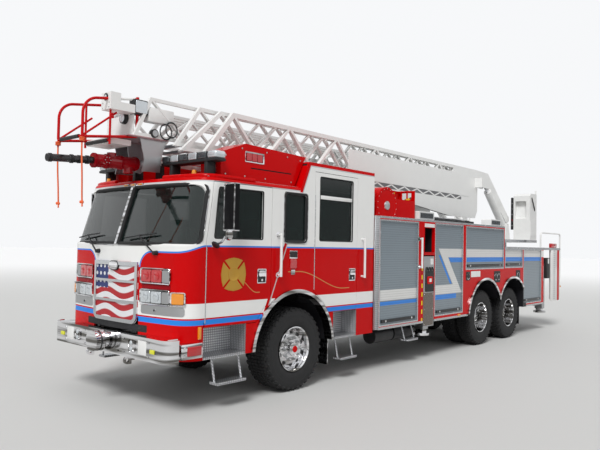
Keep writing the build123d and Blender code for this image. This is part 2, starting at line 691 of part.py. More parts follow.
# Turntable: deck and heel bracket that turn on the bearing
deck_top_z = 2110
pedestal_top_z = deck_z + 105
cylinder_x = 690
cylinder_pin_x = (580, 800)
foot = Vector(0, 4100, 2400)
eye = Vector(0, 3100, 3280)
reach = (eye - foot).normalized()
with BuildPart() as turntable:
    with BuildSketch(Plane.XY.offset(deck_top_z - 58)) as floor:
        with Locations((0, turntable_y)):
            Circle(950)
        with Locations((0, 4830)):
            Rectangle(2180, 700)
        chamfer(floor.vertices().group_by(Axis.Y)[-1], 70)
    extrude(amount=58)
    with Locations((0, turntable_y, (pedestal_top_z + 0.5 + deck_top_z - 50) / 2)):
        Cylinder(560, deck_top_z - 50 - pedestal_top_z - 0.5)
    for label, side in both_sides:
        side_prism(
            ((4300, 2100), (4430, heel_z + 60), (4500, heel_z + 115), (4620, heel_z + 115),
             (4690, heel_z + 60), (4760, 2100)), side, (475, 532))
        bar((side * 480, heel_y, heel_z), (side * 604, heel_y, heel_z), 50)
        for x in ((cylinder_pin_x[0], cylinder_x - 85), (cylinder_x + 85, cylinder_pin_x[1])):
            side_prism(((3960, 2100), (4040, 2470), (4160, 2470), (4240, 2100)), side, x)
        bar((side * cylinder_pin_x[0], foot.Y, foot.Z), (side * cylinder_pin_x[1], foot.Y, foot.Z), 35)
        bar((side * 1044, 5145, 2100), (side * 1044, 5145, 3290), rail_radius)
        rail = [(side * 1044, 5145, 3150), (side * 640, 5145, 3150), (side * 640, 5145, 2100)]
        bent_tube(rail, 80, rail_radius)
        bar((side * 1044, 5145, 2720), (side * 640, 5145, 2720), 14)
write(turntable, "turntable")

with BuildPart() as console:
    with BuildSketch(Plane.YZ.offset(690)) as cabinet:
        with BuildLine():
            Polyline(
                (4700, deck_top_z), (4700, 3140), (4760, 3195), (5090, 3195), (5110, 3160),
                (5110, deck_top_z), close=True)
        make_face()
    extrude(amount=390)
    with BuildSketch(Plane.YZ.offset(730)) as recess:
        with BuildLine():
            Polyline((4690, 2600), (4690, 3020), (4830, 3020), (4750, 2640), close=True)
        make_face()
    extrude(amount=260, mode=Mode.SUBTRACT)
write(console, "console")

# Lift cylinders: barrels on the turntable, rods out to the ladder's lugs
with BuildPart() as lift_cylinders:
    for label, side in both_sides:
        shift = Vector(side * cylinder_x, 0, 0)
        across = Vector(80, 0, 0)
        bar(tuple(foot + shift - across), tuple(foot + shift + across), 80)
        bar(tuple(foot + shift), tuple(foot + shift + reach * 1120), 80)
        bar(tuple(foot + shift + reach * 100), tuple(foot + shift + reach * 1200), 40.3, Mode.SUBTRACT)
        bar(tuple(foot + shift - across * 2), tuple(foot + shift + across * 2), 35.3, Mode.SUBTRACT)
write(lift_cylinders, "lift_cylinders")
with BuildPart() as lift_rods:
    for label, side in both_sides:
        shift = Vector(side * cylinder_x, 0, 0)
        across = Vector(42, 0, 0)
        bar(tuple(foot + shift + reach * 130), tuple(eye + shift), 40)
        bar(tuple(eye + shift - across), tuple(eye + shift + across), 72)
write(lift_rods, "lift_rods")

# Ladder: four trussed sections, each sliding in the one outside it. The rungs stand half a millimetre
# clear of the chords, so that the two trusses and each rung are solids of their own.
section_rows = (  # name, chord x, chord size, bottom z, top z, low front, high front, rear, panels
    ("ladder_base", 570, 60, 2970, 3550, -4640, -4170, 2900, 13),
    ("ladder_lower_mid", 478, 50, 3030, 3565, -4870, -4300, 3050, 14),
    ("ladder_upper_mid", 393, 46, 3090, 3580, -4920, -4570, 2950, 14),
    ("ladder_fly", 310, 40, 3150, 3592, -5450, -5250, 2850, 15),
)
rung_pitch = 356


def trussed_section(x, size, bottom, top, front_low, front_high, rear, panels):
    pitch = (rear - front_high) / panels
    for label, side in both_sides:
        with BuildSketch(Plane.YZ.offset(side * x - size / 2)) as truss:
            with BuildLine():
                Polyline((front_low, bottom), (front_high, top), (rear, top), (rear, bottom), close=True)
            make_face()
            offset(amount=size / 2, kind=Kind.INTERSECTION, mode=Mode.REPLACE)
            offset(amount=-size, kind=Kind.INTERSECTION, mode=Mode.SUBTRACT)
            with BuildLine():
                Polyline(*[(front_high + pitch * i, bottom if i % 2 else top) for i in range(panels + 1)])
            trace(line_width=size * 0.6)
        extrude(truss.sketch, amount=size)
    count = int((rear - front_low - 200) / rung_pitch)
    middle = front_low + 100 + rung_pitch * count / 2
    with Locations((0, middle, bottom)):
        with GridLocations(1, rung_pitch, 1, count + 1):
            Box(2 * x - size - 1, 36, 30)


with BuildPart() as ladder_base:
    trussed_section(*section_rows[0][1:])
    for label, side in both_sides:
        side_prism(
            ((-2300, 2960), (-300, 2740), (1700, 2540), (2850, 2540), (2950, 2700), (2950, 3580),
             (1900, 3580), (1500, 2960)), side, (540, 600))
        side_prism(
            ((2900, 3580), (3480, 3560), (4560, 2690), (4640, 2640), (4650, 2560), (4600, 2515),
             (4490, 2520), (3300, 3370), (2940, 3370), (2900, 3200)), side, (540, 600))
        bar((side * 530, heel_y, heel_z), (side * 610, heel_y, heel_z), 50.3, Mode.SUBTRACT)
        side_prism(((-1700, 2985), (-1700, 3440), (2550, 3440), (2550, 2985)), side, (600, 606))
        sided(side, (595, 760), (2830, 2940), (3200, 3400))
        for x in ((600, cylinder_x - 47), (cylinder_x + 47, 760)):
            side_prism(
                ((2830, 3200), (2830, 3400), (3060, 3390), (3170, 3340), (3190, 3270), (3120, 3190)),
                side, x)
write(ladder_base, "ladder_base")
for row in section_rows[1:3]:
    with BuildPart() as middle_section:
        trussed_section(*row[1:])
    write(middle_section, row[0])

with BuildPart() as ladder_fly:
    trussed_section(*section_rows[3][1:])
write(ladder_fly, "ladder_fly")

# The tip's frame: a hooped side rail on each side, the plate below the fly, and the monitor's hanger
tip_front_y = -6090
tip_rear_y = -5400
tip_rail_x = 266
plate_z = (3118, 3130)
with BuildPart() as ladder_tip:
    block((-330, 330), (-5560, -4990), plate_z)
    block((-282, 282), (-5462, -5448), (3120, 3385))
    block((-240, 240), (-5745, -5455), (3010, 3075))
    block((-60, 60), (-5480, -5455), (3060, 3125))
    block((130, 330), (-5790, -5470), (3385, 3480))
    block((130, 330), (-5790, -5660), (3470, 3580))
    bar((-tip_rail_x, -5753, 3040), (tip_rail_x, -5753, 3040), 15)
    for label, side in both_sides:
        x = side * tip_rail_x
        side_rail = [
            (x, tip_rear_y, 3565), (x, tip_front_y, 3460), (x, tip_front_y, 3030), (x, tip_rear_y, 3124),
        ]
        bent_tube(side_rail, [195, 30], 16)
        bar((x, tip_rear_y, 3122), (x, tip_rear_y, 3590), 19)
        bar((x, -5753, 2990), (x, -5753, 3535), 13)
        bar((x, tip_front_y + 10, 3050), (x, -5675, 3362), 12)
        bar((x, tip_front_y, 3060), (x, tip_front_y, 2960), 11)
        hanger = ((-5260, 3125), (-5195, 2780), (-5050, 2745), (-4990, 2800), (-4990, 3125))
        side_prism(hanger, side, (150, 165))
    bar((-150, -5170, 2850), (150, -5170, 2850), 35)
write(ladder_tip, "ladder_tip")

with BuildPart() as monitor:
    bar((0, -5215, 2840), (0, -5800, 2822), 78)
    bar((0, -5330, 2860), (0, -5330, 2715), 62)
    bar((0, -5560, 2780), (0, -5560, 2935), 55)
    bar((-120, -5690, 2824), (120, -5690, 2824), 45)
    bar((0, -5800, 2822), (0, -object_half_length, 2790), 42)
write(monitor, "monitor")

# Guide ropes: they hang free from the hoops at the tip, each with a knot at its end
rope_radius = 9
rope_top = Vector(tip_rail_x, tip_front_y, 2960)
rope_points = (  # x to the outside, y to the rear, z up, all from the hook
    (0, 0, 0), (0, 0, -85), (3, 3, -190), (4, 9, -315), (0, 16, -440), (-3, 20, -550), (-2, 24, -645),
)


def largest_bends(points):
    bends = []
    for before, corner, after in zip(points, points[1:], points[2:]):
        turn = math.radians((corner - before).get_angle(after - corner))
        shorter = min((corner - before).length, (after - corner).length)
        bends.append(0.45 * shorter / math.tan(turn / 2))
    return bends


for label, side in both_sides:
    hook = Vector(side * rope_top.X, rope_top.Y, rope_top.Z)
    route_points = [hook + Vector(side * x, y, z) for x, y, z in rope_points]
    bends = largest_bends(route_points)
    print(f"guide_rope_{label} bend radii", [round(bend) for bend in bends])
    with BuildPart() as rope:
        bent_tube(route_points, bends, rope_radius)
        with Locations(route_points[-1]):
            Sphere(24)
    write(rope, f"guide_rope_{label}")

# Stabilizers: a beam that slides out of its sleeve, and a leg that comes down in the beam's jack
leg_x = 1090
pad_z = (400, 440)
for middle_y, place in zip(stabilizer_ys, ("front", "rear")):
    for label, side in both_sides:
        lane_y = middle_y - side * beam_pitch / 2
        with BuildPart() as beam:
            lane = (lane_y - beam_half_depth, lane_y + beam_half_depth)
            jack_wall = 15
            jack_x = (leg_x - leg_half, leg_x + leg_half)
            jack_y = (middle_y - leg_half, middle_y + leg_half)
            bore_x = (jack_x[0] + jack_wall, jack_x[1] - jack_wall)
            bore_y = (jack_y[0] + jack_wall, jack_y[1] - jack_wall)
            sided(side, (-740, jack_x[0] + 10), lane, (sleeve_z[0] + 15, sleeve_z[1] - 15))
            sided(side, jack_x, jack_y, (500, 1560))
            sided(side, bore_x, bore_y, (490, 1540), Mode.SUBTRACT)
            if place == "front":
                sided(side, (leg_x + leg_half, 1238), (middle_y - 40, middle_y + 40), (1400, 1460))
                sided(side, (leg_x + leg_half, 1238), (middle_y - 40, middle_y + 40), (620, 680))
                sided(side, (1232, 1244), (leg_bay_y[0] + 15, leg_bay_y[1] - 15), (560, 1740))
        write(beam, f"stabilizer_beam_{place}_{label}")
        with BuildPart() as leg:
            sided(side, (leg_x - 66, leg_x + 66), (middle_y - 66, middle_y + 66), (pad_z[1], 1450))
            with Locations((side * leg_x, middle_y, (pad_z[0] + pad_z[1]) / 2)):
                Cylinder(140, pad_z[1] - pad_z[0])
        write(leg, f"stabilizer_leg_{place}_{label}")
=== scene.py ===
import math

import bmesh
import bpy
from mathutils import Matrix, Vector
from mathutils.bvhtree import BVHTree


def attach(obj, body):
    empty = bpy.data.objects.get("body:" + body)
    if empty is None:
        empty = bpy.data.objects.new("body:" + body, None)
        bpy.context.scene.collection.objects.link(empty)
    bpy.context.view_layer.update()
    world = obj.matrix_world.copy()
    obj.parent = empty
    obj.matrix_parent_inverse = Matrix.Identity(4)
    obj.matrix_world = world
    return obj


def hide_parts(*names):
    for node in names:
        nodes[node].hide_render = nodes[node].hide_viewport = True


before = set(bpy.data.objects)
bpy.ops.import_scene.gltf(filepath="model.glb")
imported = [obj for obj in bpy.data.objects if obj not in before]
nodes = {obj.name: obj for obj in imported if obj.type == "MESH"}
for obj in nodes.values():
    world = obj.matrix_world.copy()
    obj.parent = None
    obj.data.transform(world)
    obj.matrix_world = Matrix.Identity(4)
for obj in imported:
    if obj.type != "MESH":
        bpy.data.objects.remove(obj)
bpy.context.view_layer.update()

# The engine faces -Y with its left side at +X, in metres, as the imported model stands.
bothSides = (("left", 1), ("right", -1))
axles = {"high": 0.537, "front": -3.524, "rear": (1.98, 3.32)}
scene = bpy.context.scene


# Shader values: maths written on a Wire adds its nodes
class Wire:
    def __init__(self, tree, socket):
        self.tree = tree
        self.socket = socket

    def node(self, kind, inputs, out=0, **settings):
        made = self.tree.nodes.new(kind)
        for setting, value in settings.items():
            setattr(made, setting, value)
        for key, value in inputs.items():
            if isinstance(value, Wire):
                self.tree.links.new(value.socket, made.inputs[key])
            else:
                made.inputs[key].default_value = value
        return Wire(self.tree, made.outputs[out])

    def calc(self, operation, *others):
        return self.node("ShaderNodeMath", dict(enumerate((self, *others))), operation=operation)

    def __add__(self, other):
        return self.calc("ADD", other)

    def __sub__(self, other):
        return self.calc("SUBTRACT", other)

    def __rsub__(self, other):
        return self.node("ShaderNodeMath", {0: other, 1: self}, operation="SUBTRACT")

    def __mul__(self, other):
        return self.calc("MULTIPLY", other)

    def __truediv__(self, other):
        return self.calc("DIVIDE", other)

    def __pow__(self, other):
        return self.calc("POWER", other)

    def __abs__(self):
        return self.calc("ABSOLUTE")

    __radd__, __rmul__ = __add__, __mul__

    def most(self, other):
        return self.calc("MAXIMUM", other)

    def least(self, other):
        return self.calc("MINIMUM", other)

    def sine(self):
        return self.calc("SINE")

    def cycle(self):  # the part after the point, which starts again at each whole number
        return self.calc("FRACT")

    def far(self, other):  # the distance that two lengths at right angles make
        return (self * self + other * other) ** 0.5

    def ease(self, low, high):  # 0 to 1 between two values, gently
        return self.node("ShaderNodeMapRange", {"Value": self, "From Min": low, "From Max": high},
                         interpolation_type="SMOOTHSTEP")

    def over(self, edge, soft=0.0015):  # 0 below the edge, 1 above it
        return self.node("ShaderNodeMapRange", {"Value": self - edge, "From Min": -soft, "From Max": soft})

    def under(self, edge, soft=0.0015):
        return 1 - self.over(edge, soft)

    def within(self, low, high, soft=0.0015):
        return self.over(low, soft) * self.under(high, soft)

    def pick(self, low, high):  # this mask chooses between two colours
        return self.node("ShaderNodeMix", {0: self, 6: low, 7: high}, out=2, data_type="RGBA")

    def choose(self, low, high):  # and this between two numbers
        return self.node("ShaderNodeMix", {0: self, 2: low, 3: high}, data_type="FLOAT")

    def axes(self):
        outs = self.node("ShaderNodeSeparateXYZ", {0: self}).socket.node.outputs
        return [Wire(self.tree, outs[i]) for i in range(3)]

    def noise(self, scale, detail=3.0):
        return self.node("ShaderNodeTexNoise", {"Vector": self, "Scale": scale, "Detail": detail})

    def bump(self, strength, distance):
        return self.node("ShaderNodeBump", {"Height": self, "Strength": strength, "Distance": distance})


def tint(red, green, blue):  # a colour as a paint chart gives it, 0 to 255
    parts = [part / 255 for part in (red, green, blue)]
    return tuple(p / 12.92 if p < 0.04 else ((p + 0.055) / 1.055) ** 2.4 for p in parts) + (1.0,)


def dim(colour, share):
    return tuple(c * share for c in colour[:3]) + (1,)


def makeMaterial(name, settled, look):
    material = bpy.data.materials.new(name)
    material.use_nodes = True
    tree = material.node_tree
    shader = tree.nodes["Principled BSDF"]
    for socket, value in settled.items():
        shader.inputs[socket].default_value = value
    place = Wire(tree, tree.nodes.new("ShaderNodeTexCoord").outputs["Object"])
    for socket, value in look(place).items():
        tree.links.new(value.socket, shader.inputs[socket])
    return material


chart = {
    "red": tint(200, 0, 3),
    "white": tint(236, 236, 234),
    "blue": tint(48, 134, 226),
    "silver": tint(196, 198, 200),
    "grey": tint(134, 146, 154),
    "black": tint(22, 22, 24),
    "gold": tint(196, 150, 92),
    "yellow": tint(232, 222, 40),
    "dark": tint(34, 34, 37),
}


def treadHeight(place):  # raised lozenges, on a plate facing any way
    x, y, z = place.axes()
    return abs(((x + y) * 110.0).sine() * ((x + z) * 110.0).sine()).over(0.45, 0.25)


def paintLook(colourOf, metalOf=None, bumpOf=None):
    def look(place):
        soiled = place.noise(6.0) * 0.06  # uneven by a few percent, as real paint is
        rough = place.noise(9.0) * 0.10 + 0.16
        height = place.noise(260.0, 1.0) * 0.12
        out = {"Base Color": soiled.pick(colourOf(place), (0.02, 0.02, 0.02, 1))}
        if metalOf:
            out["Metallic"] = metalOf(place)
            rough = rough + out["Metallic"] * 0.06
        if bumpOf:
            height = height + bumpOf(place)
        return {**out, "Roughness": rough, "Normal": height.bump(0.25, 0.003)}
    return look


# The cab's livery: white over red, a line along the belt, and the stripes round the waist
livery = {
    "belt": 1.864, "noseBelt": 1.788, "line": 0.018, "dipX": 0.462, "dipRound": 0.2,
    "stripeTop": 1.222, "whiteEnd": 1.06, "blueStart": 1.043, "blueEnd": 0.985,
    "roofZ": 2.64, "podZ": 2.99, "podFront": -3.53, "podFoot": 2.61, "podSlope": 0.42, "podFall": 0.92,
    "trim": 0.045, "trimEdge": 0.016, "archY": -3.6, "archRound": 0.7515,
    # gold curls: where each falls, how far, from what height, and where it starts and ends
    "curls": ((-4.63, -4.30, -0.19, 1.50, -4.63, -4.25), (-3.55, -2.60, -0.25, 1.545, -3.75, -2.45)),
}


# The cab's front: how its middle bows, its corners turn and its windshield leans back; and the space inside
cabFront = {"y": -5.462, "bow": 0.0739, "flatTo": 1.005, "corner": 0.25, "cornerX": 0.97, "cornerY": -5.140,
            "turned": 1.431, "sideFrom": 1.363, "lean": 0.313, "leanFrom": 1.85}
cabInside = {"front": -5.212, "corner": 0.222, "top": 2.606, "back": -1.872,
             "pod": ((0.715, 1.19), (-3.39, -1.872), (2.5, 2.97))}


def outlineOf(place):
    x, y, z = place.axes()
    lean = (z - cabFront["leanFrom"]).most(0.0) * cabFront["lean"]
    return abs(x), y, z, y - x * x * cabFront["bow"] - lean


# painted shade: the first mask paints the cab's inside, its roof pod and its wheel arches dark, as shade
def cabMasks(place):
    wide, y, z, nose = outlineOf(place)
    deep = (wide - cabFront["cornerX"]).most(0.0).far((cabInside["front"] - nose).most(0.0))
    low = deep.under(cabInside["corner"]) * z.under(cabInside["top"]) * y.under(cabInside["back"])
    podX, podY, podZ = cabInside["pod"]
    pod = wide.within(*podX) * y.within(*podY) * z.within(*podZ)
    arch = (y - livery["archY"]).far(z - axles["high"]).under(livery["archRound"])
    mirrors = wide.over(1.322) * z.over(2.03)
    return low.most(pod).most(arch), wide.over(1.2216, 0.0003), mirrors


def cabColour(place):
    wide, y, z, nose = outlineOf(place)
    plan = livery
    top = plan["noseBelt"] + y.ease(-5.40, -5.10) * (plan["belt"] - plan["noseBelt"])
    across = (plan["dipX"] + plan["dipRound"] - wide).most(0.0) * z.over(1.60) * y.under(-5.0)
    edge = across.far((z - top + plan["dipRound"]).most(0.0)) - plan["dipRound"]
    colour = edge.over(0.0).pick(chart["red"], chart["white"])
    colour = edge.within(-plan["line"], 0.0).pick(colour, chart["blue"])
    for y0, y1, fall, high, start, end in plan["curls"]:
        curl = abs(z - (y.ease(y0, y1) * fall + high)).under(0.005) * y.within(start, end)
        colour = curl.pick(colour, chart["gold"])
    colour = z.within(plan["whiteEnd"], plan["stripeTop"]).pick(colour, chart["white"])
    colour = z.within(plan["blueEnd"], plan["blueStart"]).pick(colour, chart["blue"])
    slope = y - plan["podFront"] - (z - plan["podFoot"]) * plan["podSlope"]
    fromTop = slope.over(0.0).choose(plan["roofZ"] - z, (plan["podZ"] - z).least(slope * plan["podFall"]))
    colour = fromTop.under(plan["trim"] + plan["trimEdge"]).pick(colour, chart["silver"])
    colour = fromTop.under(plan["trim"]).pick(colour, chart["red"])
    # painted shade: the first mask turns the inside, the pod and the arches dark
    for mask, finish in zip(cabMasks(place), ("dark", "silver", "black")):
        colour = mask.pick(colour, chart[finish])
    return colour


def cabMetal(place):
    paintedShade, proud, mirrors = cabMasks(place)
    return proud * (1 - mirrors)


gloss = {"Specular IOR Level": 0.08, "Coat Weight": 0.04, "Coat Roughness": 0.04}
cabPaint = makeMaterial("cabPaint", gloss, paintLook(cabColour, cabMetal))

# The body: red round the shutters with silver tracks, a treadplate deck, and painted shade, dark, in the tunnel and
# wells
lockers = (  # front, rear, bottom, top
    (-1.710, -0.612, 0.698, 2.285),
    (-0.019, 0.992, 0.730, 2.292),
    (1.146, 2.825, 1.510, 2.280),
    (2.930, 3.830, 1.515, 1.868),
    (3.925, 4.951, 0.715, 1.868),
)
body = {"side": 1.2, "lowDeck": 2.884, "back": 5.125, "backHalf": 0.79, "wellRound": 0.7565}


def frameDistance(y, z, locker):  # how far a point is outside a shutter's opening
    front, rear, bottom, top = locker
    return (front - y).most(y - rear).most((bottom - z).most(z - top))


def bodyMasks(place):
    x, y, z = place.axes()
    wide, high = abs(x), z - axles["high"]
    side = wide.over(body["side"])
    nearest = frameDistance(y, z, lockers[0])
    for locker in lockers[1:]:
        nearest = nearest.least(frameDistance(y, z, locker))
    rim = y.over(body["lowDeck"]).choose(z.over(2.322), z.over(1.884))
    back = y.over(body["back"]) * wide.under(body["backHalf"])
    metal = (nearest.under(0.024) * side).most(rim).most((z.under(0.665) * side).most(back))
    first, last = [(y - axle).far(high) for axle in axles["rear"]]
    wells = first.least(last).under(body["wellRound"])
    # painted shade: the wheel wells and the body's inside are masked here to be painted dark
    inside = wide.under(body["side"]) * z.under(2.3) * y.within(-1.74, 5.1) * (1 - y.over(2.9) * z.over(1.9))
    return metal, wells.most(inside)


def bodyColour(place):
    x, y, z = place.axes()
    side = abs(x).over(body["side"])
    metal, paintedShade = bodyMasks(place)
    strip = y.within(-0.482, -0.447) * z.within(0.60, 1.66) * side
    colour = strip.pick(chart["red"], (z * 7.0).cycle().over(0.5, 0.02).pick(chart["red"], chart["yellow"]))
    bands = y.over(4.965) * side * y.under(5.13)
    colour = (bands * z.within(1.72, 1.872)).pick(colour, chart["white"])
    # painted shade: the wells and the inside take the dark colour
    return paintedShade.pick(metal.pick(colour, chart["silver"]), chart["dark"])


def bodyMetal(place):
    metal, paintedShade = bodyMasks(place)
    return metal * (1 - paintedShade) * 0.85


def bodyBump(place):
    x, y, z = place.axes()
    deck = y.over(body["lowDeck"]).choose(z.over(2.354), z.over(1.936))
    return treadHeight(place) * deck.most(y.over(body["back"]) * abs(x).under(body["backHalf"])) * 0.8


bodyPaint = makeMaterial("bodyPaint", gloss, paintLook(bodyColour, bodyMetal, bodyBump))

# The shutters: grey slats, with the stripe that climbs over the second one
band = {"high": (1.72, 1.875), "highBlue": (1.632, 1.718), "low": (1.075, 1.235), "lowBlue": (0.985, 1.068),
        "slope": 1.2, "start": 2.03, "end": 2.29, "climbBlue": (1.915, 1.995), "climbTop": 1.76, "lowEnd": 0.795,
        "slat": 0.036}


def shutterColour(place):
    x, y, z = place.axes()
    tilt = z + y * band["slope"]
    second = y.over(-0.3)
    shown = y.under(5.2)
    white = z.within(*band["high"]) * tilt.over(band["start"])
    white = white.most(tilt.within(band["start"], band["end"]) * z.within(band["low"][0], band["high"][1]))
    white = white.most(z.within(*band["low"]) * tilt.under(band["end"]))
    blue = z.within(*band["highBlue"]) * tilt.over(band["end"] + 0.03)
    blue = blue.most(tilt.within(*band["climbBlue"]) * z.within(band["low"][1] + 0.012, band["climbTop"]))
    blue = blue.most(z.within(*band["lowBlue"]) * y.under(band["lowEnd"]))
    white = second.choose(z.within(livery["whiteEnd"], livery["stripeTop"]), white)
    blue = second.choose(z.within(livery["blueEnd"], livery["blueStart"]), blue)
    colour = (white * shown).pick(chart["grey"], tint(226, 226, 224))
    colour = (blue * shown).pick(colour, chart["blue"])
    colour = ((z / band["slat"]).cycle().within(0.90, 1.0, 0.03) * 0.5).pick(colour, chart["dark"])
    return abs(x).over(1.2265, 0.0004).pick(colour, chart["dark"])


def slatBump(place):
    step = (place.axes()[2] / band["slat"]).cycle()
    return (step * (1 - step) * 4.0) ** 0.5


shutterPaint = makeMaterial("shutterPaint", {"Metallic": 0.25}, paintLook(shutterColour, None, slatBump))


# Plain finishes, each with its own grain
def metalLook(colour, rough, grain, spread=0.12):
    return lambda place: {
        "Base Color": (place.noise(3.0) * 0.35).pick(colour, dim(colour, 0.72)),
        "Roughness": place.noise(grain) * spread + rough,
        "Normal": place.noise(grain * 14).bump(0.08, 0.001),
    }


def plainLook(colour, rough, grain=180.0, strength=0.25, depth=0.0015, uneven=0.25):
    return lambda place: {
        "Base Color": (place.noise(7.0) * uneven).pick(colour, dim(colour, 0.45)),
        "Roughness": place.noise(grain / 12) * 0.2 + (rough - 0.1),
        "Normal": place.noise(grain, 2.0).bump(strength, depth),
    }


def treadLook(place):
    height = treadHeight(place)
    return {
        "Base Color": (height * 0.75 + place.noise(5.0) * 0.25).pick(tint(128, 130, 134), tint(232, 233, 235)),
        "Roughness": place.noise(30.0) * 0.2 + 0.25,
        "Normal": height.bump(0.7, 0.004),
    }


def chromeLook(place):  # polished, with slight waves, and level streaks of painted reflection, light and tan-grey, that give chrome its contrast
    level = place.node("ShaderNodeVectorMath", {0: place, 1: (0.9, 0.9, 13.0)}, operation="MULTIPLY")
    return {
        # painted reflection: level bands of light and tan-grey stand in for a reflected horizon
        "Base Color": level.noise(1.6, 2.0).over(0.53, 0.10).pick(tint(236, 236, 238), tint(112, 110, 106)),
        "Roughness": place.noise(12.0) * 0.08 + 0.05,
        "Normal": place.noise(2.5, 1.0).bump(0.35, 0.03),
    }


def glassLook(place):
    return {"Base Color": place.noise(2.0).pick(tint(14, 26, 24), tint(24, 40, 37)),
            "Roughness": place.noise(4.0) * 0.03 + 0.02}


metal, coated = {"Metallic": 1.0}, {"Coat Weight": 1.0}
chrome = makeMaterial("chrome", metal, chromeLook)
brushed = makeMaterial("brushedSteel", metal, metalLook(tint(188, 189, 190), 0.30, 60.0))
darkSteel = makeMaterial("darkSteel", metal, metalLook(tint(128, 120, 114), 0.22, 40.0))
mirrorGlass = makeMaterial("mirrorGlass", metal, metalLook(tint(150, 160, 150), 0.02, 4.0, 0.03))
gold = makeMaterial("goldLeaf", {"Metallic": 0.8}, plainLook(tint(206, 160, 70), 0.35, 160.0, 0.4))
tread = makeMaterial("treadplate", {"Metallic": 0.9}, treadLook)
whitePaint = makeMaterial("whitePaint", {"Coat Weight": 0.4}, plainLook(chart["white"], 0.32, 240.0, 0.08))
redPaint = makeMaterial("redPaint", gloss, plainLook(chart["red"], 0.25, 240.0, 0.08, uneven=0.12))
darkRed = makeMaterial("darkRedPaint", gloss, plainLook(tint(150, 10, 22), 0.25, 120.0, 0.3))
blackPaint = makeMaterial("blackPaint", {}, plainLook(tint(28, 28, 30), 0.5, 90.0))
castIron = makeMaterial("castIron", {}, plainLook(tint(44, 44, 46), 0.75, 60.0, 0.5, 0.003))
rubber = makeMaterial("rubber", {}, plainLook(tint(30, 30, 31), 0.78, 120.0, 0.35, 0.002))
blackPlastic = makeMaterial("blackPlastic", {}, plainLook(tint(26, 26, 28), 0.55, 400.0, 0.3, 0.0008))
yellowPlastic = makeMaterial("yellowPlastic", {}, plainLook(tint(232, 188, 24), 0.45))
redLens = makeMaterial("redLens", coated, plainLook(tint(190, 12, 24), 0.2, 500.0, 0.4, 0.001))
amberLens = makeMaterial("amberLens", coated, plainLook(tint(236, 146, 20), 0.2, 500.0, 0.4, 0.001))
smoked = makeMaterial("smokedLens", coated, plainLook(tint(52, 58, 62), 0.2, 400.0, 0.4, 0.001))
clearLens = makeMaterial("clearLens", {**coated, "Metallic": 0.6},
                         plainLook(tint(214, 220, 224), 0.18, 400.0, 0.5, 0.001))
yellowLamp = makeMaterial("yellowLamp", {}, plainLook(tint(226, 226, 60), 0.3))
ropeOrange = makeMaterial("ropeOrange", {}, plainLook(tint(240, 110, 62), 0.8, 500.0, 0.6, 0.002))
glass = makeMaterial("windowGlass", {**coated, "Alpha": 0.62, "Coat Roughness": 0.02}, glassLook)

# The grille's mesh: wavy red and white bands beside a blue field with pale spots
mesh = {"wave": 9.0, "bands": 7.2, "fieldX": -0.14, "fieldZ": 1.33, "spots": 11.0, "holes": 320.0, "front": -5.474}


def grilleLook(place):  # the chrome surround and its bars stand proud of the mesh
    x, y, z = place.axes()
    pale = tint(226, 226, 228)
    proud = outlineOf(place)[3].under(mesh["front"], 0.001)
    wave = z + (x * mesh["wave"]).sine() * 0.035
    colour = (wave * mesh["bands"]).cycle().over(0.5, 0.04).pick(tint(176, 30, 38), pale)
    spotX, spotZ = [(way * mesh["spots"]).cycle() - 0.5 for way in (x, z)]
    spots = (spotX * spotX + spotZ * spotZ).under(0.06, 0.01)
    field = x.under(mesh["fieldX"]) * z.over(mesh["fieldZ"])
    colour = field.pick(colour, spots.pick(tint(44, 56, 110), pale))
    holes = abs((x * mesh["holes"]).sine() * (z * mesh["holes"]).sine()) * (1 - proud)
    return {"Base Color": proud.pick(colour, chart["silver"]), "Metallic": proud * 0.9 + 0.1,
            "Roughness": proud.choose(0.5, 0.1) + place.noise(20.0) * 0.05, "Normal": holes.bump(0.4, 0.002)}


# The ladder's tip: red rails, white boxes, grey plates
def tipColour(place):
    x, y, z = place.axes()
    wide = abs(x)
    high = x.over(0.128) * z.over(3.384) * y.within(-5.793, -5.467)
    low = wide.under(0.241) * z.under(3.076) * y.within(-5.7465, -5.4535)
    panel = wide.under(0.2835) * y.within(-5.4635, -5.4465) * z.over(3.131)
    grey = (z.within(3.117, 3.1315) * y.over(-5.561) * wide.under(0.3305)).most(z.under(3.117) * y.over(-5.36))
    return high.most(low).most(panel).pick(grey.pick(tint(196, 22, 26), tint(170, 170, 174)), chart["white"])


def monitorColour(place):
    x, y, z = place.axes()
    colour = y.over(-5.80).pick(tint(24, 24, 26), tint(160, 12, 24))
    return (y.within(-5.825, -5.79) * z.over(2.86)).pick(colour, tint(220, 190, 50))


def turntableFloor(place):
    return place.axes()[2].under(2.1105)


def turntableColour(place):
    return turntableFloor(place).pick(chart["white"], chart["silver"])


def turntableBump(place):
    return treadHeight(place) * place.axes()[2].within(2.105, 2.1125, 0.0005)


def rungMask(place):
    return abs(place.axes()[0]).under(0.255)


def ladderColour(place):  # white rails, a painted lattice of white rods over painted shade in its openings below the side panels, and rungs in ribbed grey covers
    x, y, z = place.axes()
    strip = abs(x).within(0.592, 0.6045) * z.within(2.897, 2.981) * y.within(-1.45, 2.20)
    climb = abs((y * 2.3).cycle() - 0.5) * 0.148 + 2.900
    # painted shade: grey between the lattice's white rods stands for the shade seen through its openings
    colour = (strip * abs(z - climb).over(0.014, 0.002)).pick(chart["white"], tint(112, 112, 114))
    return rungMask(place).pick(colour, tint(126, 128, 132))


def rungRibs(place):
    return (place.axes()[0] * 320.0).sine().over(0.0, 0.5) * rungMask(place) * 0.8


def reelColour(place):
    x, y, z = place.axes()
    return ((z - 2.56).far(x - 0.96).under(0.064) * y.over(-1.0)).pick(chart["red"], tint(216, 172, 60))


def boxColour(place):  # the roof boxes, with a dark slot along the foot of each
    wide, y, z, nose = outlineOf(place)
    return (z.within(2.80, 2.815) * y.within(-4.35, -3.62) * wide.over(1.1)).pick(chart["red"], chart["black"])


def pair(*names):  # both sides of each
    return tuple(f"{name}_{label}" for name in names for label, side in bothSides)


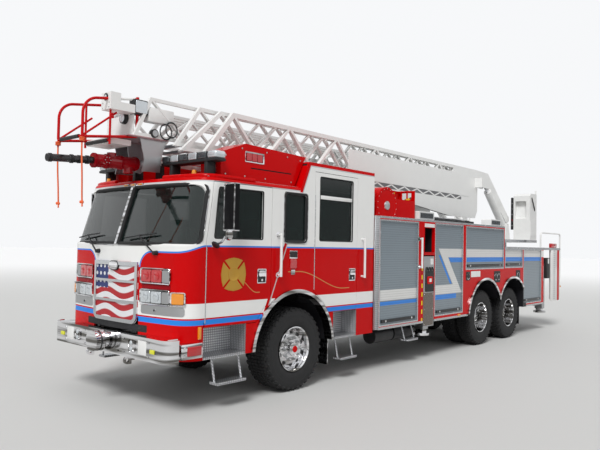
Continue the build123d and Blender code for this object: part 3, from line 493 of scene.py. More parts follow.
grilleFinish = makeMaterial("grilleFinish", {}, grilleLook)
tipPaint = makeMaterial("tipPaint", gloss, paintLook(tipColour))
monitorPaint = makeMaterial("monitorPaint", {"Coat Weight": 0.4}, paintLook(monitorColour))
turntablePaint = makeMaterial("turntablePaint", {}, paintLook(
    turntableColour, lambda place: turntableFloor(place) * 0.8, turntableBump))
reelPaint = makeMaterial("reelPaint", gloss, paintLook(reelColour))
ladderPaint = makeMaterial("ladderPaint", {}, paintLook(ladderColour, None, rungRibs))
boxPaint = makeMaterial("roofBoxPaint", gloss, paintLook(boxColour))

wornBy = {
    cabPaint: ("cab_shell", *pair("front_door", "crew_door")),
    bodyPaint: ("body_shell",),
    shutterPaint: ("roll_up_doors",),
    chrome: ("lamp_bezels", "front_bumper", "fenders", "lift_rods",
             *pair("stabilizer_leg_front", "stabilizer_leg_rear")),
    brushed: pair("stabilizer_beam_front", "stabilizer_beam_rear"),
    tread: ("cab_steps",),
    grilleFinish: ("grille",),
    tipPaint: ("ladder_tip",),
    monitorPaint: ("monitor",),
    turntablePaint: ("turntable",),
    reelPaint: ("hose_reel",),
    boxPaint: ("roof_boxes",),
    whitePaint: ("scene_lamps", "access_ladder", "handrails", "console", "lift_cylinders"),
    ladderPaint: ("ladder_base", "ladder_lower_mid", "ladder_upper_mid", "ladder_fly"),
    blackPaint: ("frame_rails", "tanks", "light_bars", "ladder_cradle"),
    castIron: ("front_axle", "rear_axles", "engine", *pair("knuckle")),
    blackPlastic: ("dashboard", "seats"),
    glass: ("windshield", "cab_glass", *pair("front_door_glass", "crew_door_glass")),
    rubber: tuple(name for name in nodes if "wheel" in name),
    ropeOrange: pair("guide_rope"),
}
for material, names in wornBy.items():
    for name in names:
        nodes[name].data.materials.clear()
        nodes[name].data.materials.append(material)
print("nodes without a finish:", sorted(set(nodes) - {n for names in wornBy.values() for n in names}))

# Camera at the photograph's place
camera = {"place": (6.478, -9.516, 1.886), "azimuth": 41.34, "up": 1.88, "roll": 1.13, "lens": 36.82}
azimuth, up, roll = (math.radians(camera[part]) for part in ("azimuth", "up", "roll"))
ahead = Vector((-math.sin(azimuth) * math.cos(up), math.cos(azimuth) * math.cos(up), math.sin(up)))
across = ahead.cross((0, 0, 1)).normalized()
upwards = across.cross(ahead)
seenRight = across * math.cos(roll) + upwards * math.sin(roll)
seenUp = upwards * math.cos(roll) - across * math.sin(roll)
lens = bpy.data.cameras.new("camera")
lens.sensor_width = 36.0
lens.lens = camera["lens"]
lens.clip_end = 500
viewer = bpy.data.objects.new("camera", lens)
turned = Matrix((seenRight, seenUp, -ahead)).transposed().to_4x4()
viewer.matrix_world = Matrix.Translation(camera["place"]) @ turned
scene.collection.objects.link(viewer)
scene.camera = viewer
scene.view_settings.view_transform = "Standard"
print("camera set")

# Floor, sky and lamps
studio = {"floor": tint(206, 206, 204), "farFloor": tint(250, 250, 250), "sky": (0.93, 0.94, 0.955, 1),
          "skyLight": 0.50, "mirroredSky": 0.92, "skyline": 0.22, "sun": 2.3, "sunSpread": 0.35,
          "sunWay": (0.32, -0.60, 0.74)}
floorMesh = bmesh.new()
bmesh.ops.create_grid(floorMesh, x_segments=2, y_segments=2, size=150)
floorData = bpy.data.meshes.new("floor")
floorMesh.to_mesh(floorData)
floor = bpy.data.objects.new("floor", floorData)
scene.collection.objects.link(floor)


def floorLook(place):  # pale, and paler still far away, where it meets the sky
    x, y, z = place.axes()
    return {"Base Color": x.far(y).ease(11.0, 45.0).pick(studio["floor"], studio["farFloor"]),
            "Roughness": place.noise(2.0) * 0.1 + 0.7}


floorData.materials.append(makeMaterial("floorPaint", {}, floorLook))
world = bpy.data.worlds.new("world")
scene.world = world
world.use_nodes = True
sky = world.node_tree
background = sky.nodes["Background"]
rays = sky.nodes.new("ShaderNodeLightPath").outputs
direct, glossy, through = (Wire(sky, rays[f"Is {kind} Ray"]) for kind in ("Camera", "Glossy", "Transmission"))
height = Wire(sky, sky.nodes.new("ShaderNodeTexCoord").outputs["Generated"]).axes()[2]
mirrored = height.within(-0.02, 0.11, 0.03).choose(studio["mirroredSky"], studio["skyline"])  # seen in polished metal
strength = direct.most(through).choose(glossy.choose(studio["skyLight"], mirrored), 1.0)
background.inputs["Color"].default_value = studio["sky"]
sky.links.new(strength.socket, background.inputs["Strength"])
sun = bpy.data.lights.new("sun", "SUN")
sun.energy = studio["sun"]
sun.angle = studio["sunSpread"]
sunPiece = bpy.data.objects.new("sun", sun)
sunPiece.rotation_mode = "QUATERNION"
sunPiece.rotation_quaternion = Vector(studio["sunWay"]).to_track_quat("Z", "Y")
scene.collection.objects.link(sunPiece)
print("studio set")


def curveLine(name, dots, radius, sides, closed=False):  # a round line through or near its dots
    line = bpy.data.curves.new(name, "CURVE")
    line.dimensions = "3D"
    line.bevel_depth = radius
    line.bevel_resolution = sides
    line.use_fill_caps = not closed
    spline = line.splines.new("NURBS")
    spline.points.add(len(dots) - 1)
    for dot, place in zip(spline.points, dots):
        dot.co = (*place, 1)
    spline.order_u = 3
    spline.use_endpoint_u = not closed
    spline.use_cyclic_u = closed
    return line


def around(middle, radius, count, start=0.0):  # points round a circle
    turns = [math.tau * (i + start) / count for i in range(count)]
    return [(middle[0] + radius * math.cos(t), middle[1] + radius * math.sin(t)) for t in turns]


# A piece in the making: closed shapes drawn for the left side, which side -1 turns to the right
class Form:
    def __init__(self, side=1, mesh=None):
        self.side = side
        self.mesh = bmesh.new() if mesh is None else mesh

    def halves(self):
        return [Form(side, self.mesh) for side in (1, -1)]

    def turn(self, point):
        return Vector((self.side * point[0], point[1], point[2]))

    def fill(self, old, material):  # the faces that weren't there before take this finish
        for face in self.mesh.faces:
            if face not in old:
                face.material_index = material

    def cube(self, first, second):
        first, second = self.turn(first), self.turn(second)
        low, high = Vector(list(map(min, first, second))), Vector(list(map(max, first, second)))
        made = bmesh.ops.create_cube(self.mesh, size=1, matrix=Matrix.LocRotScale((low + high) / 2, None, high - low))
        return high - low, {edge for corner in made["verts"] for edge in corner.link_edges}

    def bevel(self, edges, offset, steps):
        bmesh.ops.bevel(self.mesh, geom=list(edges), offset=offset, segments=steps, profile=0.5, affect="EDGES",
                        material=-1)

    def box(self, first, second, rounding=0.0, material=0, steps=2):
        old = set(self.mesh.faces)
        edges = self.cube(first, second)[1]
        if rounding:
            self.bevel(edges, rounding, steps)
        self.fill(old, material)

    def tile(self, first, second, corner=0.02, edge=0.002, material=0, sunk=None):  # a plate with round corners
        old = set(self.mesh.faces)
        size, edges = self.cube(first, second)
        thin = min(range(3), key=lambda i: size[i])
        self.bevel([e for e in edges if abs((e.verts[0].co - e.verts[1].co)[thin]) > size[thin] / 2], corner, 3)
        if edge:
            new = [face for face in self.mesh.faces if face not in old]
            self.bevel({e for face in new for e in face.edges if e.calc_face_angle(0) > 1.0}, edge, 1)
        self.fill(old, material)
        if sunk:
            self.dish(old, *sunk)

    def dish(self, old, way, wall, depth, material):  # sinks the widest new face that looks along way
        new = [face for face in self.mesh.faces if face not in old]
        for face in new:
            face.normal_update()
        face = max((f for f in new if f.normal.dot(self.turn(way)) > 0.9), key=lambda f: f.calc_area())
        bmesh.ops.inset_individual(self.mesh, faces=[face], thickness=wall, depth=-depth, use_even_offset=True)
        face.material_index = material

    def rod(self, start, end, radius, material=0, sides=16, endRadius=None):
        old = set(self.mesh.faces)
        start, end = self.turn(start), self.turn(end)
        run = end - start
        place = Matrix.Translation((start + end) / 2) @ run.to_track_quat("Z", "Y").to_matrix().to_4x4()
        bmesh.ops.create_cone(self.mesh, cap_ends=True, segments=sides, radius1=radius,
                              radius2=radius if endRadius is None else endRadius, depth=run.length, matrix=place)
        self.fill(old, material)

    def stud(self, start, push, *rest):  # a rod from a point along push
        self.rod(start, Vector(start) + Vector(push), *rest)

    def lathe(self, profile, centre, axis, sides=48, material=0):  # profile: distance along the axis, radius
        old = set(self.mesh.faces)
        centre, axis = self.turn(centre), self.turn(axis)
        away = axis.orthogonal().normalized()
        dots = [self.mesh.verts.new(centre + axis * along + away * out) for along, out in profile]
        lines = [self.mesh.edges.new(ends) for ends in zip(dots, dots[1:])]
        bmesh.ops.spin(self.mesh, geom=dots + lines, cent=centre, axis=axis, angle=math.tau, steps=sides,
                       use_merge=True)
        self.fill(old, material)

    def slab(self, outline, push, material=0):  # an outline of points, extruded along push
        old = set(self.mesh.faces)
        face = self.mesh.faces.new([self.mesh.verts.new(self.turn(point)) for point in outline])
        grown = bmesh.ops.extrude_face_region(self.mesh, geom=[face])["geom"]
        corners = [g for g in grown if isinstance(g, bmesh.types.BMVert)]
        bmesh.ops.translate(self.mesh, verts=corners, vec=self.turn(push))
        self.fill(old, material)

    def pipe(self, points, radius, material=0, sides=3, closed=False):  # a round tube along a smooth line
        old = set(self.mesh.faces)
        line = curveLine("pipeLine", [self.turn(point) for point in points], radius, sides, closed)
        carrier = bpy.data.objects.new("pipeLine", line)
        made = bpy.data.meshes.new_from_object(carrier)
        self.mesh.from_mesh(made)
        bpy.data.objects.remove(carrier)
        bpy.data.curves.remove(line)
        bpy.data.meshes.remove(made)
        self.fill(old, material)

    def ring(self, x, y, z, radius, corner, material=0):  # a round bar along an upright rounded rectangle
        (y0, y1), (z0, z1), near = y, z, 2 * corner
        self.pipe([(x, *dot) for dot in (
            (y0, z0), (y0 + near, z0), (y1 - near, z0), (y1, z0), (y1, z0 + near), (y1, z1 - near), (y1, z1),
            (y1 - near, z1), (y0 + near, z1), (y0, z1), (y0, z1 - near), (y0, z0 + near))], radius, material, 2, True)

    def finish(self, name, body, materials, slotName, replaces=(), crease=35):
        bmesh.ops.remove_doubles(self.mesh, verts=self.mesh.verts, dist=1e-5)
        bmesh.ops.recalc_face_normals(self.mesh, faces=self.mesh.faces)
        data = bpy.data.meshes.new(name)
        self.mesh.to_mesh(data)
        self.mesh.free()
        for material in materials:
            data.materials.append(material)
        data.shade_smooth()
        data.set_sharp_from_angle(angle=math.radians(crease))
        piece = bpy.data.objects.new(name, data)
        scene.collection.objects.link(piece)
        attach(piece, body)
        if replaces:
            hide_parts(*replaces)
        return piece


# Guide ropes, hanging from the tip's hooks, each to its knot
rope = {"hook": (0.266, -6.090, 2.960), "radius": 0.009, "length": 0.646,
        "route": ((0, 0, 0), (0, 0, -0.085), (0.003, 0.003, -0.190), (0.004, 0.009, -0.315),
                  (0, 0.016, -0.440), (-0.003, 0.020, -0.550), (-0.002, 0.024, -0.645))}
for label, side in bothSides:
    knot = Form()
    half = Form(side, knot.mesh)
    hook = half.turn(rope["hook"])
    dots = [hook + half.turn(step) for step in rope["route"]]
    line = curveLine(f"rope_{label}", dots, rope["radius"], 4)
    line.splines[0].resolution_u = 8
    line.materials.append(ropeOrange)
    hanging = bpy.data.objects.new(f"rope_{label}", line)
    scene.collection.objects.link(hanging)
    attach(hanging, "ladder_fly")
    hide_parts(f"guide_rope_{label}")
    loops = [(math.cos(t) * 0.013 + math.cos(2 * t) * 0.008, math.sin(t) * 0.013 - math.sin(2 * t) * 0.008,
              math.sin(3 * t) * 0.010) for t in (math.tau * i / 12 for i in range(12))]
    end = dots[-1] + Vector((0, 0, -0.004))
    knot.pipe([end + Vector(p) for p in loops], rope["radius"], closed=True)
    knot.pipe([end, end + Vector((0.004, 0, -0.02)), end + Vector((0.010, -0.004, -0.050))], rope["radius"] * 0.9)
    tied = knot.finish(f"rope_knot_{label}", "ladder_fly", [ropeOrange], "rope")
print("ropes hung")

# Wheels: tyres with ribs and lugs, and polished rims with hand holes, nuts and a hub
wheel = {"face": 1.170, "frontWidth": 0.400, "dualWidth": 0.285, "gap": 0.040, "turns": 72, "tread": 0.518, "ribs": 5,
         "shoulder": 0.052, "lugEdge": 0.006, "lugDeep": 0.017, "holes": 10, "holeCircle": 0.203, "nuts": 10,
         "nutCircle": 0.143, "bolts": 8, "boltCircle": 0.072}
frontRim = ((0.800, 0.2915), (1.150, 0.2915), (1.158, 0.290), (1.161, 0.282), (1.153, 0.271), (1.130, 0.263),
            (1.075, 0.255), (1.058, 0.244), (1.066, 0.236), (1.088, 0.212), (1.095, 0.175), (1.092, 0.120),
            (1.102, 0.113), (1.102, 0.096), (1.150, 0.089), (1.158, 0.080), (1.160, 0.060), (1.162, 0.0))
rearRim = ((0.600, 0.2915), (1.150, 0.2915), (1.158, 0.290), (1.161, 0.282), (1.152, 0.271), (1.120, 0.263),
           (0.962, 0.252), (0.930, 0.243), (0.915, 0.222), (0.908, 0.175), (0.908, 0.132), (0.918, 0.122),
           (0.985, 0.113), (1.002, 0.104), (1.004, 0.092), (1.040, 0.080), (1.050, 0.060), (1.053, 0.0))


def addTyre(form, face, width, axleY):
    edge, count = wheel["shoulder"], wheel["ribs"]
    top = width - 2 * edge
    half = [(face - 0.035, 0.291), (face - 0.012, 0.316), (face - 0.002, 0.350), (face, 0.385), (face - 0.003, 0.430),
            (face - 0.0005, 0.434), (face - 0.003, 0.450), (face - 0.010, 0.490), (face - 0.022, 0.512)]
    ribs = [(face - edge - top * (i + part) / count, wheel["tread"]) for i in range(count) for part in (0.04, 0.96)]
    back = [(2 * face - width - along, out) for along, out in reversed(half)]
    old = set(form.mesh.faces)
    form.lathe(half + ribs + back + half[:1], (0, axleY, axles["high"]), (1, 0, 0), wheel["turns"])
    new = [face for face in form.mesh.faces if face not in old]
    bmesh.ops.remove_doubles(form.mesh, verts=list({v for f in new for v in f.verts}), dist=1e-5)
    new = [face for face in form.mesh.faces if face not in old]
    bmesh.ops.recalc_face_normals(form.mesh, faces=new)
    lugs = []
    for patch in new:
        middle = patch.calc_center_median()
        y, z = middle.y - axleY, middle.z - axles["high"]
        out = math.hypot(y, z)
        wide = max(v.co.x for v in patch.verts) - min(v.co.x for v in patch.verts)
        onTop = out > wheel["tread"] - 0.002
        if (onTop and wide > 0.02) or (not onTop and out > 0.49 and int(math.degrees(math.atan2(z, y)) // 5) % 2):
            lugs.append(patch)
    bmesh.ops.inset_individual(form.mesh, faces=lugs, thickness=wheel["lugEdge"], depth=wheel["lugDeep"],
                                 use_even_offset=True)


def addRim(form, profile, axleY, disc, hub):
    middle = (axleY, axles["high"])
    form.lathe(profile, (0, *middle), (1, 0, 0), 64)
    for spot in around(middle, wheel["holeCircle"], wheel["holes"], 0.5):
        form.stud((disc - 0.04, *spot), (0.0415, 0, 0), 0.027, 1, 20)
    for spot in around(middle, wheel["nutCircle"], wheel["nuts"]):
        form.stud((disc - 0.01, *spot), (0.040, 0, 0), 0.019, 2, 6)
        form.stud((disc + 0.030, *spot), (0.018, 0, 0), 0.015, 2, 12, 0.010)
    for spot in around(middle, wheel["boltCircle"], wheel["bolts"], 0.5):
        form.stud((hub - 0.03, *spot), (0.034, 0, 0), 0.007, 2, 6)


for label, side in bothSides:
    tyre, rim = Form(side), Form(side)
    front = f"front_wheel_{label}"
    addTyre(tyre, wheel["face"], wheel["frontWidth"], axles["front"])
    tyre.finish(f"front_tyre_{label}", front, [rubber], "tyre", [front])
    addRim(rim, frontRim, axles["front"], 1.090, 1.158)
    rim.stud((1.155, axles["front"], axles["high"]), (0.013, 0, 0), 0.046, 3, 32, 0.040)
    rim.finish(f"front_rim_{label}", front, [chrome, blackPaint, brushed, redPaint], "chrome")
    for i, axleY in enumerate(axles["rear"]):
        rear = f"rear_wheel_{i + 1}_{label}"
        tyres, rim = Form(side), Form(side)
        for face in (wheel["face"], wheel["face"] - wheel["dualWidth"] - wheel["gap"]):
            addTyre(tyres, face, wheel["dualWidth"], axleY)
        tyres.finish(f"rear_tyres_{i + 1}_{label}", rear, [rubber], "tyre", [rear])
        addRim(rim, rearRim, axleY, 0.908, 1.050)
        rim.finish(f"rear_rims_{i + 1}_{label}", rear, [chrome, blackPaint, brushed], "chrome")
print("wheels made")


# Nose: seals, wipers, lamps, bumper fittings
def noseSpot(along, z, proud=0.0):  # a point on the cab's front: along is the distance round it from its middle
    way, plan = abs(along), cabFront
    lean = max(0.0, z - plan["leanFrom"]) * plan["lean"]
    angle = min((way - plan["flatTo"]) / plan["corner"] - plan["turned"], 0.0)
    if way <= plan["flatTo"]:
        x, y = way, plan["y"] + plan["bow"] * way * way - proud
    else:
        out = plan["corner"] + proud
        x = plan["cornerX"] + out * math.cos(angle)
        y = plan["cornerY"] + out * math.sin(angle) + max(0.0, way - plan["sideFrom"])
    return Vector((math.copysign(x, along), y + lean, z))


windshield = {"bottom": 1.872, "top": 2.545, "middle": 0.028, "edge": (
    (1.105, 1.872), (1.3145, 1.872), (1.283, 2.062), (1.2585, 2.25), (1.244, 2.355), (1.217, 2.545), (1.0, 2.545))}


def paneLoop(grow, proud):
    low, high, middle = windshield["bottom"] - grow, windshield["top"] + grow, windshield["middle"]
    outline = [(middle, low), (0.03 + middle, low), (0.5, low)]
    for along, z in windshield["edge"]:
        outline.append((along + (grow if along > 1.15 else 0), low if z < 1.9 else high if z > 2.5 else z))
    outline += [(0.5, high), (0.03 + middle, high), (middle, high)]
    return [noseSpot(along, z, proud) for along, z in outline]


seals = Form()
for half in seals.halves():
    for grow, proud, radius, finish in ((0.006, 0.0, 0.017, 0), (-0.004, -0.014, 0.013, 0), (-0.004, -0.026, 0.012, 0),
                                        (0.022, 0.004, 0.008, 1)):
        half.pipe(paneLoop(grow, proud), radius, finish, closed=True)
seals.slab([noseSpot(along, z, 0.022) for along, z in ((-0.022, 1.86), (0.022, 1.86), (0.022, 2.55), (-0.022, 2.55))],
           (0, 0.03, 0), 1)
seals.finish("windshield_seals", "chassis", [rubber, chrome], "dark_plastic")

wiper = {"pivots": ((0.755, 0.437), (-0.389, -0.72)), "pivotZ": 1.767, "tipZ": 1.965, "blade": 0.27}
wipers = Form()
for pivot, tip in wiper["pivots"]:
    base, reach = noseSpot(pivot, wiper["pivotZ"]), noseSpot(tip, wiper["tipZ"], 0.035)
    left, right = noseSpot(tip - wiper["blade"], 1.93, 0.022), noseSpot(tip + wiper["blade"], 1.985, 0.022)
    wipers.stud(base, (0, -0.05, 0), 0.028, 0, 20, 0.022)
    wipers.pipe([base + Vector((0, -0.045, 0)), base.lerp(reach, 0.5) + Vector((0, -0.035, 0)), reach], 0.009)
    wipers.pipe([left, reach, right], 0.008)
    wipers.pipe([left + Vector((0, 0.01, 0)), reach + Vector((0, 0.014, 0)), right + Vector((0, 0.01, 0))], 0.005)
wipers.finish("wipers", "chassis", [blackPlastic], "dark_plastic")

markers = Form()
for x in (-0.15, 0.0, 0.15):
    spot = noseSpot(x, 2.580, 0.010)
    markers.box(spot - Vector((0.047, 0.012, 0.017)), spot + Vector((0.047, 0.02, 0.017)), 0.006, 1)
    markers.box(spot - Vector((0.036, 0.028, 0.011)), spot + Vector((0.036, 0.0, 0.011)), 0.008)
for half in markers.halves():  # red rims, small beacons on the roof, and side markers by the corners
    half.pipe([noseSpot(along, 2.650, -0.028) for along in (0.50, 0.62, 0.85, 1.10, 1.25, 1.40, 1.62, 1.90)], 0.026, 2)
    half.stud((0.90, -5.04, 2.63), (0, 0, 0.050), 0.036, 1, 24)
    half.stud((0.90, -5.04, 2.68), (0, 0, 0.048), 0.030, 0, 24, 0.024)
    half.box((1.21, -5.188, 0.835), (1.238, -5.150, 0.970), 0.008)
    half.box((1.244, 0.815, 0.655), (1.262, 0.925, 0.690), 0.006)
markers.finish("marker_lamps", "chassis", [amberLens, chrome, redPaint], "chrome")


def nosePlate(form, low, high, corner=0.02, edge=0.003, material=0, sunk=None):
    # a plate drawn flat as (along, proud, z), then laid round the nose
    oldVerts = set(form.mesh.verts)
    form.tile((low[0], -high[1], low[2]), (high[0], -low[1], high[2]), corner, edge, material,
              sunk and ((0, -1, 0), *sunk))
    cuts = int(abs(high[0] - low[0]) / 0.045)
    for i in range(cuts):
        along = form.side * (low[0] + (high[0] - low[0]) * (i + 1) / (cuts + 1))
        new = [v for v in form.mesh.verts if v not in oldVerts]
        near = new + list({e for v in new for e in v.link_edges}) + list({f for v in new for f in v.link_faces})
        bmesh.ops.bisect_plane(form.mesh, geom=near, plane_co=(along, 0, 0), plane_no=(1, 0, 0))
    for v in form.mesh.verts:
        if v not in oldVerts:
            v.co = noseSpot(v.co.x, v.co.z, -v.co.y)


lampCase = {"x": (0.508, 0.992), "rows": ((1.420, 1.600, 1), (1.188, 1.362, 2)),  # bottom, top, lens
            "cells": ((0.526, 0.688, True), (0.698, 0.860, True), (0.870, 0.976, False)),
            "corner": (0.998, 1.172, 1.196, 1.346), "proud": 0.026, "panel": (0.515, 1.165, 1.080, 1.182)}
lamps = Form()
for half in lamps.halves():
    (x0, x1), proud = lampCase["x"], lampCase["proud"]
    for bottom, top, lens in lampCase["rows"]:
        nosePlate(half, (x0, 0, bottom), (x1, proud, top), 0.026, 0.004, 4, (0.014, 0.012, 0))
        for inner, outer, lit in lampCase["cells"]:
            nosePlate(half, (inner, 0.008, bottom + 0.022), (outer, proud - 0.003, top - 0.022), 0.014, 0.004,
                      lens if lit else 5)
            if lit:
                spot = noseSpot((inner + outer) / 2, (bottom + top) / 2, proud - 0.004)
                half.stud(spot, (0, -0.005, 0), 0.050, lens, 28, 0.040)
    nosePlate(half, (x0 + 0.02, 0, 1.366), (x1 - 0.01, 0.006, 1.416), 0.006, 0.001, 6)
    a0, a1, bottom, top = lampCase["corner"]
    nosePlate(half, (a0, 0, bottom), (a1, proud, top), 0.022, 0.004, 4, (0.012, 0.010, 0))
    nosePlate(half, (a0 + 0.018, 0.006, bottom + 0.018), (a1 - 0.018, proud - 0.002, top - 0.018), 0.014, 0.004, 3)
    a0, a1, bottom, top = lampCase["panel"]
    nosePlate(half, (a0, 0, bottom), (a1, 0.004, top), 0.030, 0.001, 5)
    spot = noseSpot(0.745, 1.128, 0.003)
    half.stud(spot, (0, -0.006, 0), 0.024, 5, 24, 0.021)
    half.stud(spot, (0, -0.008, 0), 0.013)
nosePlate(lamps, (-0.625, 0, 0.868), (0.625, 0.003, 0.948), 0.012, 0.001, 0)
nosePlate(lamps, (-0.106, 0.006, 1.549), (0.091, 0.028, 1.661), 0.052, 0.004, 0)
nosePlate(lamps, (-0.098, 0.010, 1.557), (0.083, 0.038, 1.653), 0.045, 0.008, 4)
lamps.finish("head_lamps", "chassis", [blackPlastic, redLens, clearLens, amberLens, chrome, brushed, darkRed],
             "glass", ["lamp_bezels"])

bumper = {"face": -5.590, "lampX": 0.580, "plateX": (0.691, 0.849), "plateZ": (0.658, 0.811)}
siren = {"y": -5.628, "z": 0.738, "rings": ((0.006, 0.124), (0.030, 0.120), (0.112, 0.122)), "spokes": 12}
fittings = Form()
for half in fittings.halves():
    front, x = bumper["face"], bumper["lampX"]
    half.box((x - 0.06, front + 0.01, 0.668), (x + 0.06, front - 0.008, 0.800), 0.02, 0)
    for z in (0.700, 0.768):
        half.stud((x, front - 0.004, z), (0, -0.012, 0), 0.036, 0, 28, 0.032)
        half.stud((x, front - 0.014, z), (0, -0.010, 0), 0.028, 1, 28, 0.016)
    half.box((bumper["plateX"][0], front + 0.01, bumper["plateZ"][0]),
             (bumper["plateX"][1], front - 0.004, bumper["plateZ"][1]), 0.004, 2)
    for bolt in (0.30, 0.42, 0.89):
        for z in (0.650, 0.800):
            half.stud((bolt, front + 0.01, z), (0, -0.020, 0), 0.013, 0, 12, 0.009)
    half.box((0.92, front + 0.01, 0.690), (1.00, front - 0.012, 0.735), 0.006, 3)
    half.box((1.08, -5.42, 0.635), (1.243, -5.128, 0.803), 0.012, 0)  # corner lamp's bezel
    half.box((1.235, -5.345, 0.668), (1.252, -5.150, 0.772), 0.010, 4)
    for z in (0.675, 0.765):
        half.box((1.236, -5.395, z - 0.02), (1.246, -5.365, z + 0.02), 0.004, 0)
for away, radius in siren["rings"]:  # the siren's rings and its dished grille
    fittings.stud((0, siren["y"] - away, siren["z"]), (0, -0.010, 0), radius, 0, 40)
fittings.stud((0, -5.672, siren["z"]), (0, -0.016, 0), 0.1195, 5, 40)
fittings.lathe([(5.738, 0.116), (5.744, 0.112), (5.744, 0.098), (5.739, 0.094), (5.739, 0.066), (5.745, 0.062),
                (5.745, 0.050), (5.739, 0.046), (5.739, 0.022), (5.748, 0.012), (5.749, 0.0)],
               (0, 0, siren["z"]), (0, -1, 0), 40, 0)
inside, outside = (around((0, siren["z"]), radius, siren["spokes"]) for radius in (0.02, 0.112))
for (x0, z0), (x1, z1) in zip(inside, outside):
    fittings.rod((x0, -5.743, z0), (x1, -5.743, z1), 0.004, 0, 6)
fittings.finish("bumper_fittings", "chassis", [chrome, clearLens, whitePaint, yellowLamp, redLens, blackPaint],
                "chrome")
print("nose made")

# Cab sides: mirrors, latches, switches, window gaskets and the badge plates, which are bare
badge = {"middle": (-4.685, 1.535), "x": 1.2195, "thick": 0.006,
         "arm": ((0.040, -0.026), (0.160, -0.140), (0.182, -0.070), (0.192, 0.0), (0.182, 0.070), (0.160, 0.140),
                 (0.040, 0.026))}
latches = {"front": (-4.222, 1.503), "crew": (-2.388, 1.480)}
doorPane = ((-4.988, 1.944), (-4.93, 1.944), (-4.25, 1.944), (-4.213, 1.944), (-4.213, 2.0), (-4.213, 2.48),
            (-4.213, 2.527), (-4.26, 2.527), (-4.88, 2.527), (-4.928, 2.527), (-4.94, 2.45), (-4.98, 2.02))
for label, side in bothSides:
    trim, frontTrim, crewTrim = Form(side), Form(side), Form(side)
    for (x0, x1), (y0, y1), (z0, z1), corner, edge, finish in (  # lamp, switch and step plates behind the front door
            ((1.218, 1.226), (-3.730, -3.580), (1.712, 1.815), 0.010, 0.002, 0),
            ((1.224, 1.232), (-3.716, -3.594), (1.728, 1.800), 0.008, 0.002, 2),
            ((1.218, 1.234), (-3.720, -3.600), (1.585, 1.705), 0.012, 0.004, 3),
            ((1.218, 1.228), (-3.700, -3.625), (1.508, 1.570), 0.006, 0.002, 0)):
        trim.tile((x0, y0, z0), (x1, y1, z1), corner, edge, finish)
    trim.ring(1.221, (-3.826, -3.406), (1.922, 2.549), 0.011, 0.06, 1)
    trim.ring(1.2205, (-3.842, -3.390), (1.906, 2.565), 0.008, 0.065, 0)
    trim.ring(1.207, (-3.815, -3.417), (1.933, 2.538), 0.012, 0.055, 1)
    trim.box((1.22, -1.846, 0.64), (1.2535, -1.768, 2.355), 0.002, 4)
    for y in (-5.1115, -4.4645, -2.8105, -2.2655):  # treadplate on the step wells' end walls
        trim.box((0.950, y - 0.0015, 0.625), (1.214, y + 0.0015, 1.005), 0, 4)
    trim.box((1.16, -1.757, 0.64), (1.2535, -1.741, 2.355), 0.002, 4)
    for y, low, high, wall in ((-3.946, 1.51, 2.01, 1.22), (-0.575, 1.565, 2.03, 1.25)):  # the grab rails' flanges
        for z in (low, high):
            trim.lathe([(-0.002, 0.0), (-0.002, 0.034), (0.006, 0.034), (0.010, 0.022), (0.026, 0.019), (0.026, 0.0)],
                       (wall, y, z), (1, 0, 0), 20, 0)
    trim.finish(f"cab_trim_{label}", "chassis", [chrome, rubber, blackPlastic, redLens, tread], "chrome")
    for form, (y, z) in ((frontTrim, latches["front"]), (crewTrim, latches["crew"])):
        form.tile((1.216, y - 0.076, z - 0.088), (1.2245, y + 0.076, z + 0.088), 0.012, 0.002, 0,
                  ((1, 0, 0), 0.010, 0.004, 2))
        form.tile((1.219, y - 0.056, z - 0.006), (1.236, y + 0.056, z + 0.066), 0.016, 0.004, 0)
        form.stud((1.216, y, z - 0.048), (0.013, 0, 0), 0.015, 0, 20)
    frontTrim.pipe([(1.214, *dot) for dot in doorPane], 0.009, 1, 2, closed=True)
    crewTrim.ring(1.214, (-3.137, -2.390), (1.948, 2.814), 0.009, 0.03, 1)
    crewTrim.box((1.199, -3.134, 2.515), (1.212, -2.393, 2.566), 0.003, 3)
    for x in (1.322, 1.488):  # the mirror's frame, its glass and the round mirror below it
        frontTrim.stud((x, -4.940, 2.030), (0, 0, 0.530), 0.008, 0, 12)
    for z in (2.036, 2.554):
        frontTrim.box((1.322, -4.946, z - 0.008), (1.489, -4.858, z + 0.008), 0.003, 0)
    frontTrim.box((1.346, -4.867, 2.075), (1.474, -4.861, 2.515), 0.001, 4)
    frontTrim.rod((1.405, -4.935, 2.045), (1.405, -4.945, 1.985), 0.007, 0, 10)
    frontTrim.lathe([(-0.020, 0.0), (-0.014, 0.045), (0.0, 0.062), (0.012, 0.064), (0.016, 0.055), (0.020, 0.030),
                     (0.022, 0.0)], (1.405, -4.945, 1.985), (0, 1, 0), 28, 0)
    frontTrim.lathe([(-0.012, 0.0), (-0.012, 0.040), (0.0, 0.052), (0.010, 0.050), (0.016, 0.0)],
                    (1.30, -5.035, 1.868), (0.0, 0.7, 0.7), 28, 2)
    middleY, middleZ = badge["middle"]
    for cos, sin in ((1, 0), (0, 1), (-1, 0), (0, -1)):
        frontTrim.slab([(badge["x"], middleY + cos * out - sin * across, middleZ + sin * out + cos * across)
                        for out, across in badge["arm"]], (badge["thick"], 0, 0), 5)
    frontTrim.lathe([(0.0, 0.085), (0.008, 0.085), (0.010, 0.080), (0.009, 0.072), (0.007, 0.068), (0.007, 0.0)],
                    (badge["x"], middleY, middleZ), (1, 0, 0), 36, 5)
    frontTrim.finish(f"front_door_trim_{label}", f"front_door_{label}",
                     [chrome, rubber, blackPlastic, whitePaint, mirrorGlass, gold], "chrome")
    crewTrim.finish(f"crew_door_trim_{label}", f"crew_door_{label}", [chrome, rubber, blackPlastic, whitePaint],
                    "chrome")
print("cab sides made")

